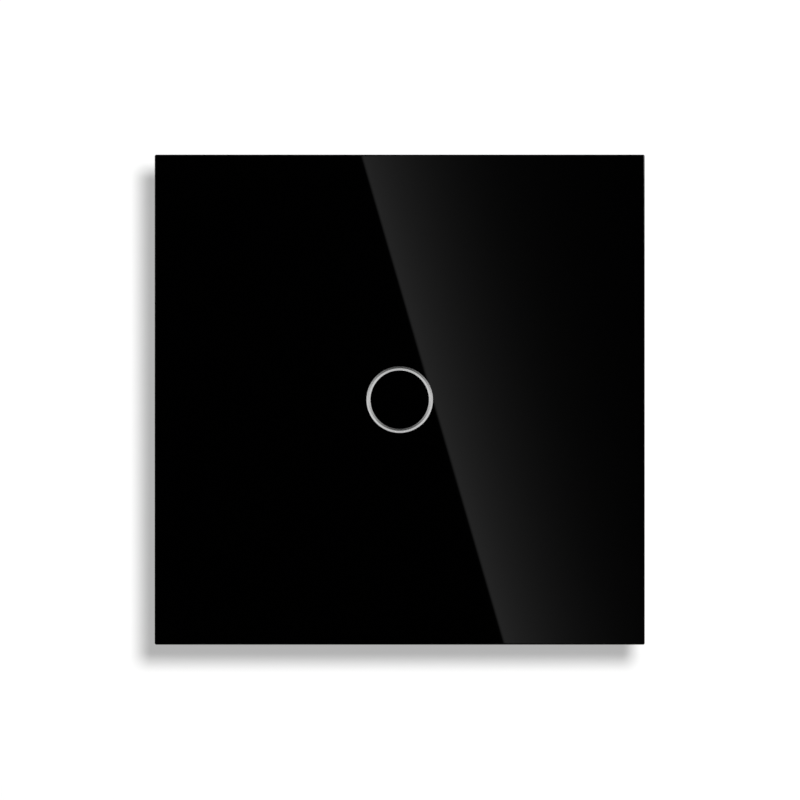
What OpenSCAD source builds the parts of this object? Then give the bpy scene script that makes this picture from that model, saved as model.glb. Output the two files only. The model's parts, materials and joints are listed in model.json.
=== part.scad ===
// Touch light switch: a square black glass panel that clips onto a module set in the wall.
// Each piece is drawn with x right, y up and z out of the wall, then turned to stand on the wall plane.

/* [Glass panel] */
// Side of the square glass panel
panel_w = 80; // [78:0.5:90]
// Thickness of the glass
glass_t = 4; // [3:0.5:6]
// Radius of the glass corners seen from the front
glass_corner_r = 0.25; // [0.25:0.05:4]
// Width of the ground arris along the glass edges
glass_arris = 0.2; // [0.1:0.05:0.2]

/* [Indicator ring] */
// Middle diameter of the ring
ring_d = 10.2; // [9:0.1:11]
// Width of the groove that holds the ring
ring_w = 0.68; // [0.6:0.02:1.2]
// Depth of the groove
groove_depth = 0.9; // [0.6:0.1:1.5]
// Depth of the V in the face of the ring
ring_vee = 0.14; // [0.1:0.02:0.4]
// Clearance of the ring at each side of the groove
ring_fit = 0.02; // [0.01:0.01:0.05]

/* [Carrier frame] */
// Distance of the carrier skirt from the glass edge
carrier_inset = 2; // [1.5:0.1:2.5]
// Thickness of the carrier skirt
carrier_wall = 1.6; // [1.2:0.1:1.8]
// Thickness of the carrier web behind the glass
carrier_web = 1.6; // [1.2:0.1:2.4]
// Radius of the carrier corners
carrier_corner_r = 3; // [2:0.5:5]
// Thickness of the tape between carrier and glass
tape_t = 0.4; // [0.2:0.1:0.8]
// Distance of the tape from the edges of the carrier web
tape_margin = 1.2; // [0.8:0.1:2]
// Distance of the carrier skirt from the wall
skirt_gap = 0.5; // [0.3:0.1:1]
// Clearance between the carrier window and the front cover
window_gap = 0.8; // [0.6:0.1:1]
// Thickness of the carrier ribs
rib_t = 1; // [0.8:0.1:1.5]
// Height of the carrier ribs
rib_h = 1.2; // [0.8:0.1:1.4]
// Distance of the carrier ribs from the middle
rib_pos = 15; // [13:0.5:17]
// Width of the notch for prying the panel off
pry_w = 8; // [6:0.5:12]
// Height of the notch for prying the panel off
pry_h = 1.5; // [1:0.1:2]

/* [Panel clips] */
// Width of a spring clip
clip_w = 6; // [5:0.5:7]
// Distance of a spring clip from the middle of its side
clip_pos = 9.5; // [9:0.1:9.8]
// Thickness of the spring clip strip
clip_t = 0.4; // [0.3:0.05:0.5]
// Length of the clip foot on the carrier
clip_foot = 4.5; // [4:0.1:6]
// Reach of the clip into the front cover
clip_bite = 0.7; // [0.5:0.05:0.8]
// Height of the clip bend below the carrier web
clip_bend = 1.5; // [1.4:0.1:1.6]
// Spread of the clip tip from the cover side
clip_spread = 0.35; // [0.2:0.05:0.5]
// Height of the clip tip above the mounting plate
clip_tip_gap = 0.45; // [0.3:0.05:0.6]
// Room between the mounting plate and the carrier web
clip_room = 3; // [3:0.1:4]
// Diameter of the stake that holds a clip
stake_d = 1.6; // [1.2:0.1:2]
// Clearance round the stake in the clip
stake_fit = 0.05; // [0.02:0.01:0.1]
// Length of the stake past the clip
stake_end = 0.6; // [0.3:0.1:0.8]

/* [Mounting plate] */
// Thickness of the mounting plate
plate_t = 1; // [0.8:0.1:1.2]
// Clearance between the plate and the carrier skirt
plate_gap = 0.9; // [0.5:0.1:1.2]
// Radius of the plate corners
plate_corner_r = 4; // [3:0.5:6]
// Depth of the pressed seat for the rear housing
seat_depth = 0.3; // [0.2:0.1:0.4]
// Clearance round the rear housing in its seat
seat_gap = 0.3; // [0.2:0.1:0.5]
// Distance between opposite wall screws
slot_pitch = 60; // [59:0.5:61]
// Width of a wall screw slot
slot_w = 4.2; // [3.6:0.1:4.6]
// Length of a wall screw slot
slot_len = 7; // [6:0.5:8]
// Metal left between the plate bore and the screw holes
bore_edge = 2; // [1.5:0.1:3]

/* [Module body] */
// Thickness of the rear housing walls
body_wall = 1.8; // [1.5:0.1:2]
// Radius of the module corners
body_corner_r = 10; // [9:0.5:11]
// Thickness of the rear housing floor
floor_t = 1.8; // [1.5:0.1:2.2]
// Width of the chamfer round the rear housing floor
housing_edge = 0.8; // [0.4:0.1:1.2]
// Distance of the screw bosses from the module sides
boss_inset = 6; // [5.8:0.1:6.4]
// Radius of the screw bosses
boss_r = 3.4; // [3.2:0.1:3.6]
// Step on the bosses that carries the power board
boss_step = 0.7; // [0.6:0.1:0.9]
// Thickness of the front cover walls
cover_wall = 1.5; // [1.2:0.1:1.8]
// Thickness of the front cover roof
cover_roof_t = 1.2; // [1:0.1:1.4]
// Width of the chamfer round the front cover
cover_edge = 0.6; // [0.3:0.1:0.9]
// Gap between the front cover and the glass
cover_gap = 0.6; // [0.4:0.1:0.8]
// Height of solid cover above a catch notch
catch_rise = 0.4; // [0.3:0.1:0.6]
// Play of the clip at each side of its catch notch
catch_gap = 0.6; // [0.4:0.1:1]
// Width of the blank recess in the housing floor
recess_w = 26; // [20:1:30]
// Height of the blank recess in the housing floor
recess_h = 14; // [10:1:18]
// Depth of the blank recess in the housing floor
recess_depth = 0.4; // [0.2:0.1:0.6]
// Distance of the blank recess above the module middle
recess_y = 9; // [8:0.5:11]
// Width of a vent slot
vent_w = 1.2; // [0.8:0.1:1.6]
// Length of a vent slot
vent_len = 9; // [6:0.5:11]
// Distance between vent slots
vent_pitch = 3; // [2.4:0.1:3.4]
// Number of vent slots
vent_count = 6; // [2:1:7]
// Distance of the vent slots from the housing floor
vent_rise = 3; // [2:0.5:4]

/* [Body screws] */
// Diameter of a body screw
body_screw_d = 2.6; // [2.2:0.1:2.8]
// Diameter of a body screw head
body_head_d = 4.8; // [4.4:0.1:5]
// Height of a body screw head
body_head_h = 1.6; // [1.2:0.1:1.7]
// Length of a body screw below its head
body_screw_len = 10; // [8:0.5:14]
// Depth of a body screw head below the cover front
body_head_sink = 0.3; // [0.1:0.1:0.5]
// Clearance round a body screw in cover and plate
screw_fit = 0.2; // [0.1:0.05:0.3]
// Clearance round a body screw in its boss
thread_fit = 0.05; // [0.02:0.01:0.1]
// Room left below a body screw in its boss
pilot_room = 1; // [0.5:0.5:3]

/* [Touch board] */
// Thickness of the touch board
touch_board_t = 1; // [0.8:0.1:1.2]
// Clearance round the touch board
touch_board_gap = 0.8; // [0.6:0.1:1.2]
// Clearance of a board round a boss
boss_gap = 0.3; // [0.2:0.1:0.5]
// Distance of the board stakes from the module middle
board_stake_pos = 11.5; // [11.3:0.1:12]
// Diameter of a post that carries the touch board
post_d = 4; // [3:0.1:4.2]
// Diameter of a board stake
board_stake_d = 1.8; // [1.4:0.1:2.2]
// Length of a board stake past the board
board_stake_end = 0.5; // [0.3:0.1:0.8]
// Outer diameter of the copper touch pad
pad_d = 27; // [24:0.5:28]
// Gap between the copper touch pad and the light guide
pad_gap = 0.8; // [0.4:0.1:1.2]
// Thickness of the copper touch pad
pad_t = 0.1; // [0.05:0.01:0.2]
// Length of the touch chip
chip_l = 4.9; // [4:0.1:6]
// Width of the touch chip
chip_w = 3.9; // [3:0.1:5]
// Height of the touch chip
chip_h = 1.2; // [0.9:0.1:1.3]
// Distance between the legs of the touch chip
chip_pitch = 1.27; // [1:0.01:1.27]
// Width of a leg of the touch chip
chip_leg_w = 0.4; // [0.3:0.05:0.5]
// Reach of a leg of the touch chip
chip_leg = 1; // [0.8:0.1:1.2]
// Thickness of a leg of the touch chip
chip_leg_t = 0.15; // [0.1:0.01:0.2]
// Number of legs at each side of the touch chip
chip_legs = 4; // [2:1:4]
// Height of the small board parts
small_h = 0.5; // [0.3:0.05:0.8]
// Length of the small board parts
small_l = 1.6; // [1:0.1:2]
// Width of the small board parts
small_w = 0.8; // [0.5:0.1:1.2]
// Distance between the small board parts
small_pitch = 3; // [2.5:0.1:3.2]
// Number of small board parts in a row
small_count = 6; // [3:1:7]
// Distance of the rows of small parts from the middle
small_row = 6.5; // [6:0.5:8]

/* [Light guide and LEDs] */
// Diameter of the light guide
guide_d = 13; // [12.5:0.1:13.5]
// Diameter of the light guide flange
flange_d = 16.4; // [15.5:0.1:17]
// Thickness of the light guide flange
flange_t = 0.8; // [0.7:0.1:1]
// Diameter of the pocket over the LEDs
led_pocket_d = 9.4; // [9.2:0.1:9.8]
// Height of an LED
led_h = 0.7; // [0.5:0.05:0.8]
// Length of an LED
led_l = 2; // [1.6:0.1:2.4]
// Width of an LED
led_w = 1.25; // [0.8:0.05:1.4]
// Number of LEDs
led_count = 3; // [2:1:6]
// Distance of the LEDs from the middle
led_pos = 2.8; // [2.5:0.1:3.2]
// Room above the LEDs
led_room = 0.3; // [0.2:0.05:0.4]
// Clearance round the light guide
guide_gap = 0.15; // [0.1:0.05:0.3]
// Height of the raised light window of the guide
light_rise = 0.3; // [0.2:0.05:0.4]
// Extra width of the light window at each side of the ring
light_margin = 0.5; // [0.3:0.1:0.8]
// Gap between the light guide and the glass
light_gap = 0.1; // [0.05:0.05:0.2]
// Width of the foam seal round the light guide
seal_w = 2.5; // [1.5:0.1:3.5]

/* [Pin header] */
// Number of header pins
pin_count = 5; // [3:1:6]
// Distance between header pins
pin_pitch = 2.54; // [2:0.01:2.54]
// Side of a square header pin
pin_w = 0.64; // [0.5:0.02:0.7]
// Width of the header body
header_w = 2.5; // [2:0.1:3]
// Distance of the header from the inner top of the housing
header_edge = 5; // [4.5:0.1:5.2]
// Length of a header pin past the touch board
pin_front = 0.4; // [0.2:0.1:0.5]
// Radius of a board hole for a header pin
pin_hole_r = 0.55; // [0.52:0.01:0.65]

/* [Power board] */
// Thickness of the power board
power_board_t = 1.6; // [1.2:0.1:2]
// Depth of the power board front behind the wall plane
power_board_drop = 2; // [1.8:0.1:3]
// Clearance round the power board
power_board_gap = 0.3; // [0.2:0.1:0.5]
// Diameter of the component leads
lead_d = 0.7; // [0.5:0.05:0.8]
// Clearance round a lead in the board
lead_fit = 0.12; // [0.05:0.01:0.2]
// Length of a lead past the board
lead_end = 0.9; // [0.5:0.1:1.1]
// Gap between the parts at the sides and the housing
side_gap = 4; // [3.6:0.1:5]
// Gap between neighbouring groups of parts
part_gap = 3; // [2.8:0.1:4]
// Gap between single parts
near_gap = 2; // [1.6:0.1:2.4]
// Gap between the tallest part and the housing floor
floor_gap = 1.5; // [1:0.1:3]
// Gap between the top row of parts and the housing top
top_gap = 6; // [6:0.1:8]

/* [Relay] */
// Length of the relay
relay_l = 19; // [18:0.1:21]
// Width of the relay
relay_w = 15.5; // [14:0.1:17]
// Height of the relay
relay_h = 15.5; // [15:0.1:18]
// Thickness of the relay case
relay_wall = 0.7; // [0.5:0.1:0.9]
// Radius of the relay case edges
relay_edge_r = 1; // [0.95:0.05:1.5]
// Thickness of the relay base
relay_base_t = 1.6; // [1.2:0.1:2]
// Height of the relay base above the board
relay_base_lift = 0.4; // [0.2:0.1:0.6]
// Clearance of the relay base in the case
relay_fit = 0.1; // [0.05:0.05:0.2]
// Thickness of the yoke
yoke_t = 1.2; // [1:0.1:1.4]
// Width of the yoke and armature
yoke_w = 8; // [6:0.1:9]
// Distance of the yoke leg from the coil middle
yoke_reach = 7; // [6.9:0.1:7.4]
// Length of the yoke foot past the coil middle
yoke_foot = 3; // [2:0.1:4]
// Shift of the coil from the middle of the relay
coil_x = 0.2; // [0:0.1:0.4]
// Diameter of the coil core
core_d = 4; // [3:0.1:4.6]
// Diameter of the pole face on the core
pole_d = 6.4; // [5:0.1:7]
// Thickness of the pole face
pole_t = 0.6; // [0.4:0.1:0.8]
// Diameter of the bobbin flanges
coil_d = 10; // [9:0.1:10.6]
// Depth of the winding below the flanges
winding_sink = 0.4; // [0.2:0.1:0.8]
// Thickness of the bobbin flanges
coil_flange_t = 0.8; // [0.6:0.1:1]
// Length of the coil
coil_l = 7.4; // [6.5:0.1:7.4]
// Clearance of the coil
coil_gap = 0.1; // [0.05:0.05:0.2]
// Clearance between the armature and the rounded yoke edge
knife_gap = 0.1; // [0.08:0.01:0.14]
// Opening angle of the armature at rest
armature_angle = 4; // [3:0.5:4.5]
// Thickness of the armature
armature_t = 1.2; // [1:0.1:1.3]
// Overhang of the armature behind the yoke leg
armature_tail = 0.6; // [0.4:0.1:0.7]
// Length of the armature past the coil middle
armature_reach = 4.6; // [4:0.1:5]
// Thickness of the contact spring
leaf_t = 0.25; // [0.2:0.05:0.3]
// Width of the contact spring
leaf_w = 4; // [3:0.1:5]
// Distance of the contacts from the coil middle
contact_reach = 6.9; // [6.7:0.1:7]
// Diameter of a contact
contact_d = 2.4; // [2:0.1:2.6]
// Height of a contact
contact_h = 0.9; // [0.7:0.1:1.1]
// Thickness of the fixed contact post
post_t = 1; // [0.8:0.1:1.2]
// Distance of the coil pins from the relay middle line
coil_pin_pos = 6; // [5.8:0.1:6.2]

/* [Power parts] */
// Length of the film capacitor
cap_l = 13; // [12:0.1:14]
// Width of the film capacitor
cap_w = 6; // [5:0.1:6.5]
// Height of the film capacitor
cap_h = 12; // [10:0.1:14]
// Edge radius of the film capacitor
cap_edge_r = 0.6; // [0.3:0.1:1]
// Distance between the film capacitor leads
cap_pitch = 10; // [7.5:0.1:10]
// Diameter of the electrolytic capacitor
elco_d = 8; // [6.3:0.1:8]
// Height of the electrolytic capacitor
elco_h = 11.5; // [9:0.1:14]
// Distance between the electrolytic capacitor leads
elco_pitch = 3.5; // [2.5:0.1:4]
// Height of the crimp round the electrolytic capacitor
elco_crimp_level = 1.2; // [0.8:0.1:2]
// Depth of the crimp round the electrolytic capacitor
elco_crimp = 0.4; // [0.2:0.1:0.6]
// Diameter of the varistor disc
varistor_d = 8; // [6:0.1:8.4]
// Thickness of the varistor disc
varistor_t = 3.6; // [3:0.1:4]
// Radius of the dipped rim of the varistor disc
varistor_rim = 1.2; // [0.6:0.1:1.4]
// Height of the varistor disc above the board
varistor_lift = 2; // [1:0.1:3]
// Distance between the varistor leads
varistor_pitch = 5; // [4:0.1:5.2]
// Diameter of the choke
choke_d = 7; // [6:0.1:7.4]
// Height of the choke
choke_h = 9; // [7:0.1:12]
// Thickness of the choke end discs
choke_disc_t = 1.2; // [0.8:0.1:1.6]
// Depth of the choke winding below the end discs
choke_sink = 0.8; // [0.4:0.1:1.2]
// Distance between the choke leads
choke_pitch = 4; // [3:0.1:4.4]
// Length of the fuse
fuse_l = 9; // [7:0.1:9.4]
// Diameter of the fuse
fuse_d = 3.4; // [2.6:0.1:3.6]
// Length of the fuse end caps
fuse_cap_l = 2; // [1.4:0.1:2.6]
// Rise of the fuse end caps over the tube
fuse_cap_rise = 0.2; // [0.1:0.05:0.3]
// Height of the fuse above the board
fuse_lift = 1; // [0.6:0.1:2]
// Length of the rectifier
rectifier_l = 4.7; // [4:0.1:6]
// Width of the rectifier
rectifier_w = 3.8; // [3:0.1:5]
// Height of the rectifier
rectifier_h = 1.7; // [1.2:0.1:1.9]
// Distance between the rectifier legs
rectifier_pitch = 2.6; // [2:0.1:2.8]
// Number of legs at each side of the rectifier
rectifier_legs = 2; // [1:1:2]

/* [Terminals] */
// Distance between the poles
pole_pitch = 8.6; // [8.2:0.1:8.6]
// Gap between two pole blocks
pole_gap = 0.1; // [0.05:0.05:0.3]
// Set-back of the pole blocks in the housing
block_recess = 0.3; // [0.2:0.1:0.6]
// Clearance of the pole blocks in the housing opening
block_gap = 0.25; // [0.15:0.05:0.35]
// Thickness of the block wall with the wire hole
wire_wall = 2.4; // [2:0.1:3]
// Diameter of a wire hole
wire_hole_d = 3.2; // [2.6:0.1:3.4]
// Depth of the funnel at a wire hole
wire_mouth = 0.5; // [0.2:0.1:0.8]
// Thickness of the block under a screw head
block_web = 1.2; // [1:0.1:1.6]
// Least thickness of the block on the board
block_front_t = 1.5; // [1:0.1:3]
// Thickness of block behind a cage
block_tail = 1.6; // [1.2:0.1:2]
// Diameter of a terminal screw
term_screw_d = 3; // [2.6:0.1:3.2]
// Diameter of a terminal screw head
term_head_d = 5; // [4.4:0.1:5.2]
// Height of a terminal screw head
term_head_h = 2.2; // [1.8:0.1:2.6]
// Depth of a terminal screw head in the block
term_head_sink = 0.4; // [0.2:0.1:0.6]
// Clearance round a terminal screw head
term_head_gap = 0.2; // [0.15:0.05:0.3]
// Clearance under a terminal screw head
term_seat_gap = 0.1; // [0.05:0.05:0.2]
// Width of the slot in a terminal screw
drive_w = 0.8; // [0.6:0.1:1]
// Depth of the slot in a terminal screw
drive_depth = 1; // [0.6:0.1:1.2]
// Clearance of a terminal screw in the block
term_hole_gap = 0.2; // [0.1:0.05:0.3]
// Clearance of a terminal screw in its cage
cage_thread_fit = 0.05; // [0.02:0.01:0.1]
// Width of a cage
cage_w = 5.8; // [5.4:0.1:6]
// Depth of a cage along the wire
cage_d = 5.6; // [5:0.1:6]
// Length of a cage along its screw
cage_l = 7.5; // [7.3:0.1:8]
// Thickness of the threaded wall of a cage
cage_thread_t = 1.5; // [1.2:0.1:1.8]
// Thickness of the side walls of a cage
cage_side_t = 0.9; // [0.8:0.05:1]
// Thickness of the clamping wall of a cage
cage_clamp_t = 1; // [0.8:0.1:1.2]
// Travel of a cage
cage_travel = 2.5; // [2:0.1:2.6]
// Clearance at the ends and sides of a cage
cage_gap = 0.3; // [0.3:0.05:0.4]
// Thickness of a tongue
tongue_t = 1; // [0.8:0.1:1.1]
// Width of a tongue
tongue_w = 3.2; // [2.6:0.1:3.4]
// Clearance of a tongue in its cage
tongue_gap = 0.4; // [0.3:0.05:0.5]
// Width of the board tab of a tongue
tab_w = 1.4; // [1:0.1:1.6]
// Radius of a board hole for a tab
tab_hole_r = 1.05; // [1.02:0.01:1.2]
// Gap between a screw tip and its tongue
tip_gap = 0.05; // [0.02:0.01:0.1]

/* [Hidden] */
$fn = 64;

// Overshoot of cutting shapes
over = 0.5;
// Overlap of shapes that grow into one another
merge = 0.2;

// Levels from the wall outwards
web_back = plate_t + clip_room;
web_front = web_back + carrier_web;
glass_back = web_front + tape_t;
glass_front = glass_back + glass_t;
cover_top = glass_back - cover_gap;
cover_roof = cover_top - cover_roof_t;
touch_front = cover_roof - flange_t;
touch_back = touch_front - touch_board_t;
power_front = -power_board_drop;
power_back = power_front - power_board_t;

// Terminal levels, measured from the rear face of a pole block
head_bore = term_head_sink + term_head_h + term_seat_gap;
chamber_start = head_bore + block_web;
cage_start = chamber_start + cage_gap + cage_travel;
chamber_end = cage_start + cage_l + cage_gap;
tongue_start = cage_start + cage_thread_t + tongue_gap;
wire_level = (tongue_start + tongue_t + cage_start + cage_l - cage_clamp_t) / 2;

// Depth of the module behind the wall
varistor_top = varistor_lift + varistor_d;
tallest = max(relay_h, cap_h, elco_h, choke_h, varistor_top);
part_room = tallest + floor_gap + floor_t;
terminal_room = chamber_end + block_front_t + block_recess;
housing_depth = max(part_room, terminal_room) - power_back;
housing_back = -housing_depth;
block_back = housing_back + block_recess;

// Width of the module from the parts inside it
block_d = wire_wall + cage_gap + cage_d + block_tail;
block_inner = block_d + block_recess - body_wall;
parts_across = 2 * side_gap + relay_l + part_gap + cap_l;
parts_up = block_inner + relay_w + choke_d + 2 * part_gap + top_gap;
body_in = max(parts_across, parts_up);
body_w = body_in + 2 * body_wall;
body_half = body_w / 2;
boss_pos = body_half - boss_inset;
carrier_w = panel_w - 2 * carrier_inset;
window_w = body_w + 2 * window_gap;
window_r = body_corner_r + window_gap;
clip_knee = window_gap + clip_t / 2;
stake_x = body_half + clip_knee + clip_foot / 2 + clip_t;
plate_w = carrier_w - 2 * carrier_wall - 2 * plate_gap;
plate_bore_r = boss_pos * sqrt(2) - body_screw_d / 2 - screw_fit - bore_edge;

// Places of the parts on the power board
relay_x = -body_in / 2 + side_gap + relay_l / 2;
relay_y = -body_in / 2 + block_inner + part_gap + relay_w / 2;
right_edge = relay_x + relay_l / 2 + part_gap;
cap_x = right_edge + cap_l / 2;
cap_y = relay_y - relay_w / 2 + cap_w / 2;
elco_x = right_edge + elco_d / 2;
elco_y = cap_y + cap_w / 2 + near_gap + elco_d / 2;
varistor_x = elco_x + elco_d / 2 + near_gap / 2 + varistor_t / 2;
varistor_y = elco_y;
top_row = relay_y + relay_w / 2 + part_gap + choke_d / 2;
choke_x = near_gap / 2 + choke_d / 2;
fuse_x = -near_gap / 2 - fuse_l / 2;
rectifier_y = relay_y + relay_w / 2 + part_gap / 2;
header_y = body_in / 2 - header_edge;

// Places of the terminal parts
poles = [-1, 0, 1];
block_bottom = -body_half + block_recess;
screw_y = block_bottom + wire_wall + cage_gap + cage_d / 2;
block_top = block_bottom + block_d;
tongue_top = block_top + tongue_gap + tongue_t;
tab_y = tongue_top - tongue_t / 2;

// Relay heights above the power board and places along the relay
base_top = relay_base_lift + relay_base_t;
coil_bottom = base_top + yoke_t + coil_gap;
pole_bottom = coil_bottom + coil_l + coil_gap;
pole_top = pole_bottom + pole_t;
knife_axis = pole_top - yoke_t / 2;
knife_level = pole_top + knife_gap;
leg_x = coil_x - yoke_reach;
contact_x = coil_x + contact_reach;
leaf_reach = contact_reach + contact_d / 2;
moving_contact = armature_t + leaf_t - contact_h;
contact_level = knife_level + moving_contact;
coil_pin_x = coil_x + contact_reach - contact_d;

// Places of the component leads
lead_r = lead_d / 2;
lead_hole_r = lead_r + lead_fit;
lead_len = power_board_t + lead_end;
sides = [-1, 1];
cap_leads = [for (s = sides) [cap_x + s * cap_pitch / 2, cap_y]];
elco_leads = [for (s = sides) [elco_x, elco_y + s * elco_pitch / 2]];
varistor_leads = [for (s = sides) [varistor_x, varistor_y + s * varistor_pitch / 2]];
choke_leads = [for (s = sides) [choke_x + s * choke_pitch / 2, top_row]];
fuse_reach = fuse_l / 2 - fuse_cap_l / 2;
fuse_leads = [for (s = sides) [fuse_x + s * fuse_reach, top_row]];
coil_leads = [for (s = sides) [relay_x + coil_pin_x, relay_y + s * coil_pin_pos]];
yoke_lead = [relay_x + leg_x, relay_y];
contact_lead = [relay_x + contact_x, relay_y];
all_leads = concat(cap_leads, elco_leads, varistor_leads, choke_leads, fuse_leads, coil_leads,
                   [yoke_lead, contact_lead]);
pins = [for (i = [0 : pin_count - 1]) (i - (pin_count - 1) / 2) * pin_pitch];
header_l = pin_count * pin_pitch;

// Colours
glass_black = [0.03, 0.03, 0.035];
ring_silver = [0.8, 0.8, 0.8];
moulded_black = [0.08, 0.08, 0.085];
moulded_white = [0.9, 0.9, 0.88];
moulded_grey = [0.62, 0.63, 0.64];
spring_steel = [0.7, 0.71, 0.73];
zinc_steel = [0.72, 0.74, 0.77];
clear_plastic = [0.85, 0.9, 0.95];
board_green = [0.1, 0.35, 0.2];
copper = [0.8, 0.48, 0.3];
brass = [0.8, 0.66, 0.33];
chip_black = [0.12, 0.12, 0.13];
coil_red = [0.55, 0.22, 0.15];
relay_blue = [0.16, 0.35, 0.62];
cap_yellow = [0.85, 0.68, 0.16];
can_grey = [0.55, 0.57, 0.6];
disc_blue = [0.12, 0.3, 0.55];

// Turns a piece from the drawing plane onto the wall
module on_wall() {
    rotate([90, 0, 0])
        children();
}

// Puts a piece on the rear face of the power board, heights counting backwards
module behind_board(x, y) {
    translate([x, y, power_back])
        mirror([0, 0, 1])
            children();
}

// Repeats a piece at the four corners of a square
module at_corners(pos) {
    for (x = sides)
        for (y = sides)
            translate([x * pos, y * pos, 0])
                children();
}

// Repeats a piece at the four clips, two at the left and two at the right
module at_clips() {
    for (turn = [0, 180])
        rotate([0, 0, turn])
            for (y = sides)
                translate([0, y * clip_pos, 0])
                    children();
}

// Repeats a piece at the four sides
module at_sides() {
    for (turn = [0 : 90 : 270])
        rotate([0, 0, turn])
            children();
}

module rounded_rect(w, h, r) {
    square([w - 2 * r, h], center = true);
    square([w, h - 2 * r], center = true);
    for (x = sides)
        for (y = sides)
            translate([x * (w / 2 - r), y * (h / 2 - r)])
                circle(r);
}

// Rounded square plate between two levels
module slab(w, r, low, high) {
    translate([0, 0, low])
        linear_extrude(high - low)
            rounded_rect(w, w, r);
}

// Rounded square frame between two levels
module frame(w, r, hole_w, hole_r, low, high) {
    difference() {
        slab(w, r, low, high);
        slab(hole_w, hole_r, low - over, high + over);
    }
}

// Chamfered edge layer that narrows a rounded square by its own height
module chamfer_layer(w, r, c) {
    for (turn = [0, 90])
        rotate([0, 0, turn])
            translate([r - w / 2, 0, 0])
                rotate([90, 0, 90])
                    linear_extrude(w - 2 * r)
                        polygon([[-w / 2, 0], [w / 2, 0], [w / 2 - c, c], [c - w / 2, c]]);
    at_corners(w / 2 - r)
        cylinder(h = c, r1 = r, r2 = r - c);
}

// Box between two corners
module box(low, high) {
    translate(low)
        cube(high - low);
}

// Round pin between two levels
module pin(r, low, high) {
    translate([0, 0, low])
        cylinder(h = high - low, r = r);
}

// Outline of a bent strip of sheet that follows the points, rounded at its bends and at its far end
module bent_strip(points, t) {
    for (i = [1 : len(points) - 1]) {
        run = points[i] - points[i - 1];
        translate(points[i - 1])
            rotate(atan2(run[1], run[0]))
                translate([0, -t / 2])
                    square([norm(run), t]);
        translate(points[i])
            circle(t / 2);
    }
}

// Lead that runs from a part through the board
module lead(start) {
    pin(lead_r, -lead_len, start);
}

module glass_panel() {
    color(glass_black)
        on_wall()
            difference() {
                union() {
                    slab(panel_w, glass_corner_r, glass_back + glass_arris, glass_front - glass_arris);
                    translate([0, 0, glass_front - glass_arris])
                        chamfer_layer(panel_w, glass_corner_r, glass_arris);
                    translate([0, 0, glass_back + glass_arris])
                        mirror([0, 0, 1])
                            chamfer_layer(panel_w, glass_corner_r, glass_arris);
                }
                translate([0, 0, glass_front - groove_depth])
                    rotate_extrude()
                        translate([(ring_d - ring_w) / 2, 0])
                            square([ring_w, groove_depth + over]);
            }
}

module indicator_ring() {
    half = ring_w / 2 - ring_fit;
    color(ring_silver)
        on_wall()
            translate([0, 0, glass_front - groove_depth])
                rotate_extrude()
                    translate([ring_d / 2, 0])
                        polygon([[-half, 0], [half, 0], [half, groove_depth],
                                 [0, groove_depth - ring_vee], [-half, groove_depth]]);
}

module adhesive_tape() {
    tape_in = window_w + 2 * tape_margin;
    color(moulded_black)
        on_wall()
            frame(carrier_w - 2 * tape_margin, carrier_corner_r - tape_margin, tape_in,
                  window_r + tape_margin, web_front, glass_back);
}

module carrier_frame() {
    skirt_in = carrier_w - 2 * carrier_wall;
    skirt_in_r = max(carrier_corner_r - carrier_wall, merge);
    rib_start = window_w / 2 + window_gap;
    color(moulded_black)
        on_wall()
            difference() {
                union() {
                    frame(carrier_w, carrier_corner_r, window_w, window_r, web_back, web_front);
                    frame(carrier_w, carrier_corner_r, skirt_in, skirt_in_r, skirt_gap, web_front);
                    at_sides()
                        for (y = sides)
                            box([rib_start, y * rib_pos - rib_t / 2, web_back - rib_h],
                                [skirt_in / 2 + merge, y * rib_pos + rib_t / 2, web_back + merge]);
                    at_clips()
                        translate([stake_x, 0, 0])
                            pin(stake_d / 2, web_back - clip_t - stake_end, web_back + merge);
                }
                box([-pry_w / 2, -carrier_w / 2 - over, skirt_gap - over],
                    [pry_w / 2, over - skirt_in / 2, skirt_gap + pry_h]);
            }
}

module panel_clips() {
    half = clip_t / 2;
    line = [
        [clip_knee + clip_foot, web_back - half],
        [clip_knee + half, web_back - half],
        [half - clip_bite, web_back - clip_bend],
        [clip_spread + half, plate_t + clip_tip_gap + half]
    ];
    color(spring_steel)
        on_wall()
            at_clips()
                difference() {
                    translate([body_half, clip_w / 2, 0])
                        rotate([90, 0, 0])
                            linear_extrude(clip_w)
                                bent_strip(line, clip_t);
                    translate([stake_x, 0, 0])
                        pin(stake_d / 2 + stake_fit, web_back - clip_t - over, web_back + over);
                }
}

module mounting_plate() {
    color(zinc_steel)
        on_wall()
            difference() {
                slab(plate_w, plate_corner_r, 0, plate_t);
                slab(body_w + 2 * seat_gap, body_corner_r + seat_gap, -over, seat_depth);
                pin(plate_bore_r, -over, plate_t + over);
                at_sides()
                    translate([slot_pitch / 2, 0, -over])
                        linear_extrude(plate_t + 2 * over)
                            slot_outline();
                at_corners(boss_pos)
                    pin(body_screw_d / 2 + screw_fit, -over, plate_t + over);
            }
}

// Outline of a wall screw slot
module slot_outline() {
    square([slot_len - slot_w, slot_w], center = true);
    for (x = sides)
        translate([x * (slot_len - slot_w) / 2, 0])
            circle(slot_w / 2);
}

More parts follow.
